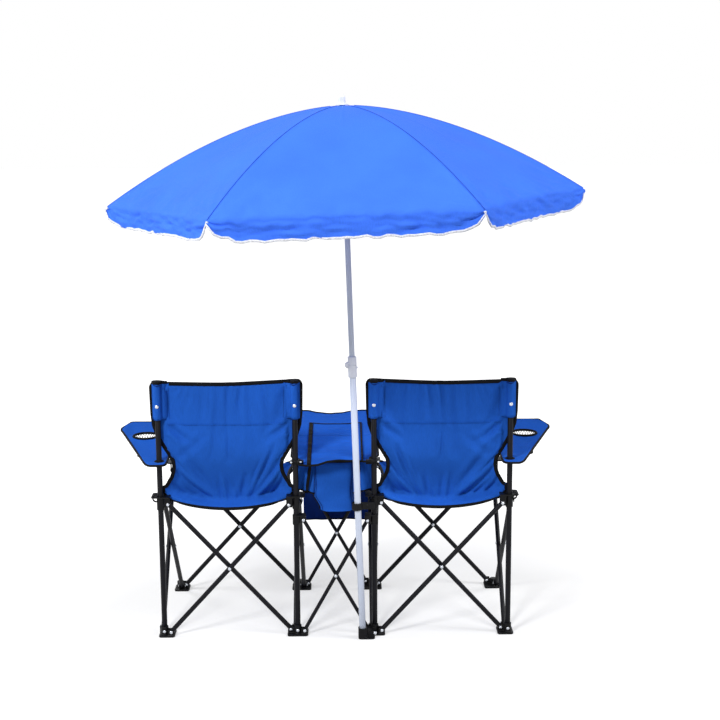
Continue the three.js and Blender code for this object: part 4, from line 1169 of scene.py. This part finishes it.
def plate(outline, holes, step, thickness, height, puff):
    """A thin plate with the given outline. height(x, y) is its middle, and puff how far its top swells."""
    flat, faces = filled(outline, holes, step)
    loops = [outline] + holes

    def from_edge(x, y):
        return min(math.hypot(x - a, y - b) for loop in loops for a, b in loop)

    top, bottom = [], []
    for x, y in flat:
        z = height(x, y)
        swell = puff * smoothstep(0, 0.02, from_edge(x, y))
        top.append((x, y, z + thickness / 2 + swell))
        bottom.append((x, y, z - thickness / 2))
    count = len(flat)
    all_faces = [list(face) for face in faces] + [[count + i for i in reversed(face)] for face in faces]
    edges = dict.fromkeys((a, b) for face in faces for a, b in zip(face, [*face[1:], face[0]]))
    all_faces += [[b, a, count + a, count + b] for a, b in edges if (b, a) not in edges]
    return top + bottom, all_faces


def circle(x, y, radius, steps=48):
    """Points round a level circle."""
    return [(x + radius * math.cos(2 * math.pi * i / steps), y + radius * math.sin(2 * math.pi * i / steps))
            for i in range(steps)]


def seated_height(tube_top, rear, thickness):
    """How high a plate lies at the front posts, so that its slope clears their tubes."""
    clear = tube_top + 0.0003 + thickness / 2
    return clear + (clear - rear) / FRAME_DEPTH * POST_RADIUS


ARM_REAR_Z = 0.620
ARM_FRONT_Z = seated_height(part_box("front_hub_and_arm_tube_outer_left")[1].z, ARM_REAR_Z, ARM_THICKNESS)
CHAIR_MIDDLE_Y = (REAR_Y + FRONT_Y) / 2


def arm_height(y):
    """The height of an arm without its sag."""
    return mix(ARM_REAR_Z, ARM_FRONT_Z, (y - REAR_Y) / FRAME_DEPTH)


def make_arm(side_name, outward):
    """An armrest with its piping, its net cup and the loop at the seat's corner."""
    column = f"outer_{side_name}"
    x = COLUMN_X[column]
    cup_y = CHAIR_MIDDLE_Y + CUP_AHEAD_OF_MIDDLE
    outline = [(x + outward * a, b) for a, b in arm_outline()]
    hole = circle(x + outward * CUP_OUT, cup_y, CUP_RADIUS)
    post_hole = circle(x, REAR_Y, POST_RADIUS + 0.0008, 24)

    def height(a, b):
        """The arm's cloth between its posts, slack enough to show it."""
        run = min(max((b - REAR_Y) / FRAME_DEPTH, 0), 1)
        out = abs(a - x) / ARM_FRONT_OUT
        near_cup = smoothstep(0.03, 0.0, math.hypot(a - x - outward * CUP_OUT, b - cup_y) - CUP_RADIUS)
        ripple = noise_at(a * 22, b * 13, 4.0 + outward) * 0.0035
        sag = 0.006 * math.sin(math.pi * run) * (0.4 + out)
        return arm_height(b) + (ripple - sag) * (1 - near_cup) * smoothstep(0, 0.06, b - REAR_Y)

    top = Shape().add(*plate(outline, [hole, post_hole], ARM_STEP, ARM_CLOTH, height, ARM_PUFF))
    top = top.build(f"{side_name}_arm", [blue_cloth])
    fix_normals(top)
    finish(top, f"rear_seat_hub_{column}", [f"{side_name}_armrest"])
    edge = [(a, b, height(a, b)) for a, b in outline]
    trim = Shape().add(*swept(edge, PIPING_RADIUS, 10, closed=True))
    grommet = [(a, b, arm_height(b) + 0.0012) for a, b in circle(x, REAR_Y, POST_RADIUS + 0.0042, 24)]
    trim.add(*swept(grommet, 0.0032, 8, closed=True))
    tape = trim.build(f"{side_name}_arm_piping", [binding])
    finish(tape, f"rear_seat_hub_{column}")
    cup = net_cup(x + outward * CUP_OUT, cup_y, arm_height(cup_y)).build(f"{side_name}_cup_net", [binding])
    finish(cup, f"rear_seat_hub_{column}")
    loop = corner_loop(x, outward).build(f"{side_name}_corner_loop", [binding])
    finish(loop, f"rear_seat_hub_{column}")
    for one in (top, tape, cup):
        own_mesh(one)


def corner_loop(x, outward):
    """The webbing loop that ties a seat's corner to its hub, outside the post."""
    path, ups = [], []
    for i in range(13):
        turn = math.pi * (i / 12 - 0.5)
        out = 0.0125 + 0.013 * math.cos(turn)
        path.append(Vector((x + outward * out, REAR_Y - 0.004, HUB_TOP - 0.006 + 0.0125 * math.sin(turn))))
        ups.append(Vector((outward * math.cos(turn), 0, math.sin(turn) + 1e-3)))
    return Shape().add(*strip(path, ups, 0.014, 0.0018))


def fix_normals(piece):
    """Turn a piece's faces outward."""
    form = bmesh.new()
    form.from_mesh(piece.data)
    bmesh.ops.recalc_face_normals(form, faces=form.faces)
    form.to_mesh(piece.data)
    form.free()


def net_cup(x, y, z):
    """A cup of crossed net strands below a rim, with a firm floor."""
    shape = Shape()
    for hand in (1, -1):
        for k in range(NET_STRANDS):
            path = []
            for i in range(NET_STEPS + 1):
                share = i / NET_STEPS
                turn = 2 * math.pi * (k / NET_STRANDS + hand * 0.12 * share)
                r = mix(CUP_RADIUS, CUP_FLOOR_RADIUS, share)
                path.append((x + r * math.cos(turn), y + r * math.sin(turn), z - CUP_DEPTH * share))
            shape.add(*swept(path, NET_RADIUS, 5))
    for r, height, thick in ((CUP_RADIUS + 0.003, z + 0.002, 0.0045), (CUP_FLOOR_RADIUS, z - CUP_DEPTH, 0.0016)):
        ring = [(a, b, height) for a, b in circle(x, y, r)]
        shape.add(*swept(ring, thick, 8, closed=True))
    floor = circle(x, y, CUP_FLOOR_RADIUS)
    levels = z - CUP_DEPTH, z - CUP_DEPTH + 0.001
    shape.add([(a, b, level) for level in levels for a, b in floor], ring_faces(2, len(floor)))
    return shape


# Table and cooler

TABLE_HALF = 0.148
TABLE_REAR_HALF = 0.1195       # where it passes between the posts
TABLE_REAR_Z = 0.622
TABLE_THICKNESS = 0.006
TABLE_OVERHANG = 0.024
SKIRT_BOTTOM = 0.257
SKIRT_HALF = 0.124
TABLE_X = (COLUMN_X["inner_left"] + COLUMN_X["inner_right"]) / 2
TABLE_FRONT_Z = seated_height(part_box("middle_hub_and_arm_tube_inner_left")[1].z, TABLE_REAR_Z, TABLE_THICKNESS)
TABLE_REAR_Y, TABLE_FRONT_Y = REAR_Y - TABLE_OVERHANG, FRONT_Y + TABLE_OVERHANG
TABLE_COLUMNS, TABLE_ROWS = 44, 36
LID_COLUMNS = 34
TABLE_CLOTH, LID_CLOTH = 0.003, 0.0022
SKIRT_COLUMNS, SKIRT_ROWS = 48, 40
FRONT_TABLE_BODY = "middle_hub_and_arm_tube_inner_right"
LID_LEFT, LID_RIGHT, LID_FRONT = -0.0985, 0.0725, 0.400
LID_LIFT = 0.0034
STRAP_WIDTH = 0.014
BAG_LEFT, BAG_RIGHT, BAG_BOTTOM = -0.096, 0.050, 0.438
BAG_CORNER_LEFT, BAG_CORNER_TOP = -0.070, 0.496
LID_FRONT_SHARE = 0.74
BAG_REAR_Y = REAR_Y + BACK_AHEAD + 0.006
BAG_AROUND, BAG_DOWN = 96, 44
BAG_WALL_SHARE = 0.62          # the share of the way from rim to middle that is wall
# The waves of the table's two ends: places across it, and heights
REAR_EDGE = ((-0.166, -0.115, -0.075, -0.045, -0.005, 0.045, 0.090, 0.130),
             (-0.006, -0.011, -0.009, 0.001, 0.007, 0.004, -0.001, -0.004))
FRONT_EDGE = ((-0.166, -0.120, -0.090, -0.036, 0.010, 0.046, 0.080, 0.130),
              (0.000, 0.000, -0.007, -0.011, -0.008, -0.004, 0.000, 0.000))


def table_height(y):
    """The height of the table without its waves."""
    return mix(TABLE_REAR_Z, TABLE_FRONT_Z, (y - REAR_Y) / FRAME_DEPTH)


def table_surface(x, y):
    """The slack cloth of the table: its two wavy ends, the sag and the small wrinkles between."""
    share = min(max((y - TABLE_REAR_Y) / (TABLE_FRONT_Y - TABLE_REAR_Y), 0), 1)
    wave = np.interp(x, *REAR_EDGE) * (1 - share) ** 3 + np.interp(x, *FRONT_EDGE) * share ** 3
    across = 1 - min(abs(x - TABLE_X) / TABLE_HALF, 1) ** 2
    sag = 0.006 * math.sin(math.pi * share) * across
    ripple = (noise_at(x * 11, y * 34, 2.0) * 0.0042 + noise_at(x * 24, y * 70, 5.0) * 0.0016) * across
    droop = 0.003 * smoothstep(FRONT_Y, TABLE_FRONT_Y, y)
    return table_height(y) + float(wave) - sag + ripple - droop


def table_half(y):
    """Half of the table's width, narrower where it passes between the posts."""
    return mix(TABLE_REAR_HALF, TABLE_HALF, smoothstep(REAR_Y + 0.016, REAR_Y + 0.040, y))


def folding(piece, body, replaced=()):
    """Finish a cloth piece of the middle bay and give it its own mesh."""
    finish(piece, body, replaced)
    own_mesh(piece)
    return piece


def make_table():
    """The table's two halves with their piping and lid, then the skirt, the bag and the clips."""
    for name, y0, y1, body in (("rear", TABLE_REAR_Y, CHAIR_MIDDLE_Y, "column_inner_right"),
                               ("front", CHAIR_MIDDLE_Y, TABLE_FRONT_Y, FRONT_TABLE_BODY)):
        def place(i, j):
            y = mix(y0, y1, j / TABLE_ROWS)
            x = TABLE_X + table_half(y) * (1 - 2 * i / TABLE_COLUMNS)
            return x, y, table_surface(x, y)

        grid = grid_of(place, TABLE_COLUMNS, TABLE_ROWS)
        piece = cloth_piece(grid, f"table_{name}", blue_cloth, TABLE_CLOTH)
        left, right = ([(j, i) for j in range(TABLE_ROWS + 1)] for i in (0, TABLE_COLUMNS))
        across = [(0 if name == "rear" else TABLE_ROWS, i) for i in range(1, TABLE_COLUMNS)]
        picks = left[::-1] + across + right if name == "rear" else left + across + right[::-1]
        lift = Vector((0, 0, 0.0016))
        trim = Shape().add(*swept([Vector(grid[pick]) + lift for pick in picks], PIPING_RADIUS, 10))

        def ribbon(points, width, lift):
            path = [Vector((x, y, table_surface(x, y) + lift)) for x, y in points]
            trim.add(*strip(path, [Vector((0, 0, 1))] * len(path), width, 0.0016))

        def lid_point(i, j):
            x = mix(LID_RIGHT, LID_LEFT, i / LID_COLUMNS)
            return x, run[j], table_surface(x, run[j]) + LID_LIFT

        low, high = y0 + 0.001, min(y1, LID_FRONT)
        run = [mix(low, high, k / 30) for k in range(31)]
        ribbon([(LID_LEFT - STRAP_WIDTH / 2, y) for y in run], STRAP_WIDTH, LID_LIFT + 0.0022)
        ribbon([(LID_RIGHT + 0.002, y) for y in run], 0.006, LID_LIFT + 0.0022)
        if name == "front":
            ribbon([(mix(LID_LEFT - STRAP_WIDTH, LID_RIGHT + 0.005, k / 40), LID_FRONT) for k in range(41)],
                   0.006, LID_LIFT + 0.0024)
        trim = folding(trim.build(f"table_{name}_trim", [binding]), body)
        lid = grid_of(lid_point, LID_COLUMNS, len(run) - 1)
        lid = folding(cloth_piece(lid, f"lid_{name}", blue_cloth, LID_CLOTH), body)
        folding(piece, body, ["cooler_table"] if name == "rear" else ())
    make_skirt()
    make_bag()
    for column, side in (("inner_left", 1), ("inner_right", -1)):
        make_clip(column, side)


def skirt_point(i, j):
    x = TABLE_X + SKIRT_HALF * (1 - 2 * i / SKIRT_COLUMNS)
    down = j / SKIRT_ROWS
    ripple = noise_at(x * 16, down * 1.5, 7.0) * 0.008 * down ** 0.7
    hem = 0.003 * noise_at(x * 20, 0, 3.0)
    z = mix(table_surface(x, TABLE_FRONT_Y) - 0.002, SKIRT_BOTTOM + hem, down)
    return x, TABLE_FRONT_Y + 0.002 + 0.6 * abs(ripple), z


def make_skirt():
    """The cloth that hangs from the table's front edge, in navy: a darker copy of the blue cloth, painted shade for
    its shaded rear face.
    """
    grid = grid_of(skirt_point, SKIRT_COLUMNS, SKIRT_ROWS)
    # The navy here is painted shade: the skirt is the same blue cloth, drawn darker where its rear face lies in
    # shadow.
    piece = cloth_piece(grid, "skirt", navy_seam_and_painted_shade_cloth)
    hem = folding(Shape().add(*swept(grid[-1], HEM_RADIUS, 8)).build("skirt_hem", [binding]), FRONT_TABLE_BODY)
    folding(piece, FRONT_TABLE_BODY)


def bag_point(u, v):
    """Round the bag's walls with u, and from the rim to the middle of the floor with v."""
    rear, front = BAG_REAR_Y, mix(REAR_Y, FRONT_Y, LID_FRONT_SHARE)
    turn = 2 * math.pi * u
    cx, cy = math.cos(turn), math.sin(turn)
    sx, sy = (math.copysign(abs(c) ** 0.3, c) for c in (cx, cy))
    down, close = min(v / BAG_WALL_SHARE, 1), max((v - BAG_WALL_SHARE) / (1 - BAG_WALL_SHARE), 0)
    middle = (rear + front) / 2
    wall_y = middle + (front - rear) / 2 * sy
    slope = (wall_y - REAR_Y) * (TABLE_FRONT_Z - TABLE_REAR_Z) / FRAME_DEPTH
    rim = TABLE_REAR_Z - TABLE_THICKNESS / 2 - 0.0125 + slope
    sag = 0.004 * (1 - sx * sx)
    z = mix(rim, BAG_BOTTOM - sag, math.sin(down * math.pi / 2) ** 0.9)
    shift = smoothstep(BAG_CORNER_TOP, BAG_BOTTOM, z)
    left = mix(BAG_LEFT, BAG_CORNER_LEFT, shift)
    scale = 1 - 0.999 * close - 0.03 * math.sin(math.pi * down)
    bulge = 1 + 0.05 * math.sin(math.pi * down) * (1 - abs(sx * sy))
    x = (left + BAG_RIGHT) / 2 + (BAG_RIGHT - left) / 2 * sx * scale * bulge
    y = middle + (wall_y - middle) * scale
    crumple = noise_at(x * 26, y * 20, z * 22) * 0.007 + noise_at(x * 9, y * 6, z * 12) * 0.009
    crumple *= math.sin(math.pi * min(v * 1.2, 1))
    return x + crumple * cx, max(y + crumple * cy, rear - 0.008), z


def make_bag():
    """The cooler bag with its welts and straps, and the wings that tie it to the posts."""
    grid = grid_of(lambda i, j: bag_point(i / BAG_AROUND, j / BAG_DOWN), BAG_AROUND - 1, BAG_DOWN)
    piece = cloth_piece(grid, "cooler_bag_shell", blue_cloth, wraps=True)
    welts = Shape()
    for u in (0.66, 0.84):
        path = [Vector(bag_point(u, 0.6 * k / 24)) - Vector((0, 0.0012, 0)) for k in range(25)]
        welts.add(*swept(path, 0.0013, 6))
    corner = [Vector(bag_point(0.60, 0.60 * k / 24)) - Vector((0.001, 0.002, 0)) for k in range(12, 25)]
    welts.add(*swept(corner, BAG_PIPING_RADIUS, 8), 1)
    rim = [bag_point(k / BAG_AROUND, 0) for k in range(BAG_AROUND)]
    welts.add(*swept(rim, HEM_RADIUS, 8, closed=True), 1)
    for top, bottom in (((-0.101, BAG_REAR_Y - 0.004, 0.606), (-0.117, BAG_REAR_Y + 0.010, 0.498)),
                        ((0.062, BAG_REAR_Y + 0.004, 0.612), (0.064, BAG_REAR_Y + 0.02, 0.500))):
        path = [Vector(top).lerp(Vector(bottom), k / 10) for k in range(11)]
        welts.add(*strip(path, [Vector((0.25, 1, 0))] * 11, 0.011, 0.0016), 1)
    trim = finish(welts.build("cooler_bag_trim", [navy_seam_and_painted_shade_cloth, binding]), "column_inner_right")
    finish(piece, "column_inner_right", ["cooler_bag"])
    for one in (piece, trim):
        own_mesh(one)
    for name, x0, x1 in (("left", COLUMN_X["inner_left"] + 0.004, BAG_LEFT + 0.006),
                         ("right", COLUMN_X["inner_right"] - 0.004, BAG_RIGHT - 0.006)):
        def wing_point(i, j):
            y = BAG_REAR_Y + 0.012 + 0.004 * math.sin(i * 0.9 + j * 0.2)
            return mix(x0, x1, i / 16), y, mix(0.611, mix(0.512, 0.496, i / 16), j / 24)

        grid = grid_of(wing_point, 16, 24)
        wing = cloth_piece(grid, f"bag_wing_{name}", blue_cloth)
        edge = Shape().add(*swept(grid[-1], BAG_PIPING_RADIUS, 8))
        edge = folding(edge.build(f"bag_wing_hem_{name}", [binding]), "column_inner_right")
        folding(wing, "column_inner_right")


def make_clip(column, side):
    """The strap and hook that hold the table's corner to a post."""
    x = COLUMN_X[column]
    z = TABLE_REAR_Z - 0.004
    shape = Shape()
    ring = [(a, b, z) for a, b in circle(x, REAR_Y, POST_RADIUS + 0.0022, 32)]
    band = [(-0.28, -1), (0.28, -1), (0.28, 1), (-0.28, 1)]
    shape.add(*swept(ring, 0.0062, closed=True, section=band, ups=[Vector((0, 0, 1))] * 32))
    for reach, size in (((0.004, 0.012, 0.020, 0.028), 0.0078), ((-0.004, -0.012, -0.018), 0.0070)):
        tab = [(x + side * d, REAR_Y - 0.0125, z) for d in reach]
        shape.add(*swept(tab, size, section=band, ups=[Vector((0, 0, 1))] * len(tab)))
    for d in (0.018, -0.014):
        shape.add(*domed_head(Vector((x + side * d, REAR_Y - 0.0143, z)), Vector((0, -1, 0)), 0.0034, 0.0014), 1)
    finish(shape.build(f"table_clip_{column}", [plastic, zinc]), f"column_{column}")


# Canopy

PANELS = 6
CANOPY_RADIUS = 0.770
CANOPY_APEX = 1.802
CANOPY_DROP = 0.292
DOME_SHAPE = 1.75
PANEL_SLACK = 0.03
PANEL_COLUMNS, CANOPY_ROWS, VALANCE_ROWS = 40, 60, 12
CROWN_HOLE = 0.0125
VALANCE = 0.066
VALANCE_CORNER, VALANCE_NOTCH, VALANCE_FLARE = 0.17, 0.2, 0.006
CANOPY_CLOTH = 0.0012


def pole_frame():
    """The umbrella's own upright frame: its base beside the foot's pivot, and its x, y and z."""
    low, high = ends_of("lower_pole")
    axis = (high - low).normalized()
    base = low + axis * ((FOOT_PIVOT_Z - low.z) / axis.z)
    x = Vector((0, 1, 0)).cross(axis).normalized()
    return base, x, Vector((0, 1, 0)), axis


POLE = pole_frame()


def by_pole(x, y, height):
    """A place given beside the pole and by its height along it."""
    base, ex, ey, ez = POLE
    return base + ex * x + ey * y + ez * (height - FOOT_PIVOT_Z)


def dome_height(s):
    """The canopy's height, with s from 0 at the crown to 1 at the rim."""
    return CANOPY_APEX - CANOPY_DROP * s ** DOME_SHAPE


def canopy_point(turn, s):
    """A point of the smooth canopy, with turn counted in panels."""
    panel = math.floor(turn)
    t = turn - panel
    start = panel * 2 * math.pi / PANELS
    end = start + 2 * math.pi / PANELS
    draw = 1 - PANEL_SLACK * math.sin(math.pi * t) * s
    radius = s * CANOPY_RADIUS * draw
    return (radius * mix(math.cos(start), math.cos(end), t), radius * mix(math.sin(start), math.sin(end), t),
            dome_height(s))


def valance_depth(t):
    """How far the valance hangs at a share t of its panel."""
    from_rib = min(t, 1 - t) / VALANCE_CORNER
    rounded = 1 if from_rib >= 1 else math.sqrt(1 - (1 - from_rib) ** 2)
    return VALANCE * (VALANCE_NOTCH + (1 - VALANCE_NOTCH) * rounded)


def canopy_surface(turn, s):
    """The canopy with the small pleats that run from its ribs and along its rim."""
    x, y, z = canopy_point(turn, s)
    t = turn % 1
    near = min(t, 1 - t)
    pleats = noise_at(x * 5, y * 5, s * 3) * 0.004 * s
    ribs = noise_at(turn * 46, s * 7, 1.0) * 0.0035 * smoothstep(0.3, 0.0, near) * smoothstep(0.5, 1.0, s)
    rim = noise_at(turn * 22, s * 26, 5.0) * 0.008 * smoothstep(0.8, 0.98, s)
    seam = 0.0012 * math.exp(-((t - 0.5) / 0.012) ** 2) * smoothstep(0.03, 0.1, s)
    aside, inward = near * CANOPY_RADIUS, (1 - s) * CANOPY_RADIUS
    from_tip = math.hypot(aside, inward)
    spoke = math.atan2(inward, aside) * 9 + 3 * noise_at(turn, s * 4, 8.0)
    fan = 0.0042 * math.sin(spoke) * smoothstep(0.0, 0.07, from_tip) * math.exp(-from_tip / 0.16)
    return x, y, z + (pleats + ribs + rim + fan) * smoothstep(0, 0.04, near) + seam


def canopy_cell(i, j):
    """A point of the canopy's grid: its rows first, and then the valance's."""
    turn = i / PANEL_COLUMNS
    if j <= CANOPY_ROWS:
        return by_pole(*canopy_surface(turn, mix(CROWN_HOLE / CANOPY_RADIUS, 1, j / CANOPY_ROWS)))
    down = (j - CANOPY_ROWS) / VALANCE_ROWS
    x, y, z = canopy_surface(turn, 1)
    flutter = noise_at(turn * 9, down * 2.5, 9.0) * 0.012
    creases = noise_at(turn * 24, down * 5, 2.0) * 0.020
    flare = 1 + VALANCE_FLARE * down + flutter * down + creases * math.sin(down * math.pi)
    return by_pole(x * flare, y * flare, z - down * valance_depth(turn % 1))


def make_canopy():
    """The canopy with its white hem, its seams and the caps of its ribs."""
    around = PANELS * PANEL_COLUMNS
    grid = grid_of(canopy_cell, around - 1, CANOPY_ROWS + VALANCE_ROWS)
    piece = cloth_piece(grid, "canopy_cloth", canopy_cloth, CANOPY_CLOTH, wraps=True)
    finish(piece, "umbrella_top", ["canopy"])
    base, *_, ez = POLE

    def outward(point):
        return (point - base - ez * (point - base).dot(ez)).normalized()

    rim = [Vector(point) for point in grid[-1]]
    hem = strip([point + ez * 0.003 for point in rim], [outward(point) for point in rim],
                0.0075, 0.0036, 0.85, closed=True)
    trim, seams = Shape().add(*hem), Shape()
    for rib in range(0, around, PANEL_COLUMNS):
        line = [Vector(grid[j, rib]) + ez * 0.0008 for j in range(2, CANOPY_ROWS + 1)]
        seams.add(*swept(line, 0.0013, 6))
        tip = Vector(grid[CANOPY_ROWS, rib])
        out = outward(tip)
        trim.add(*capped(tip - out * 0.010 - ez * 0.004, tip + out * 0.004 - ez * 0.006, 0.0034, 0.002, 12), 1)
    hem = trim.build("canopy_hem", [white_tape, white_plastic])
    finish(hem, "umbrella_top")
    ridges = seams.build("canopy_seams", [canopy_thread])
    finish(ridges, "umbrella_top")


make_camera()
make_stage()
make_bars()
make_posts()
make_mouldings()
make_foot_rivets()
make_umbrella()
make_chair("left", "outer_left", "inner_left", 1)
make_chair("right", "outer_right", "inner_right", -1)
make_arm("left", -1)
make_arm("right", 1)
make_table()
make_canopy()

bpy.context.scene.view_settings.view_transform = "Standard"
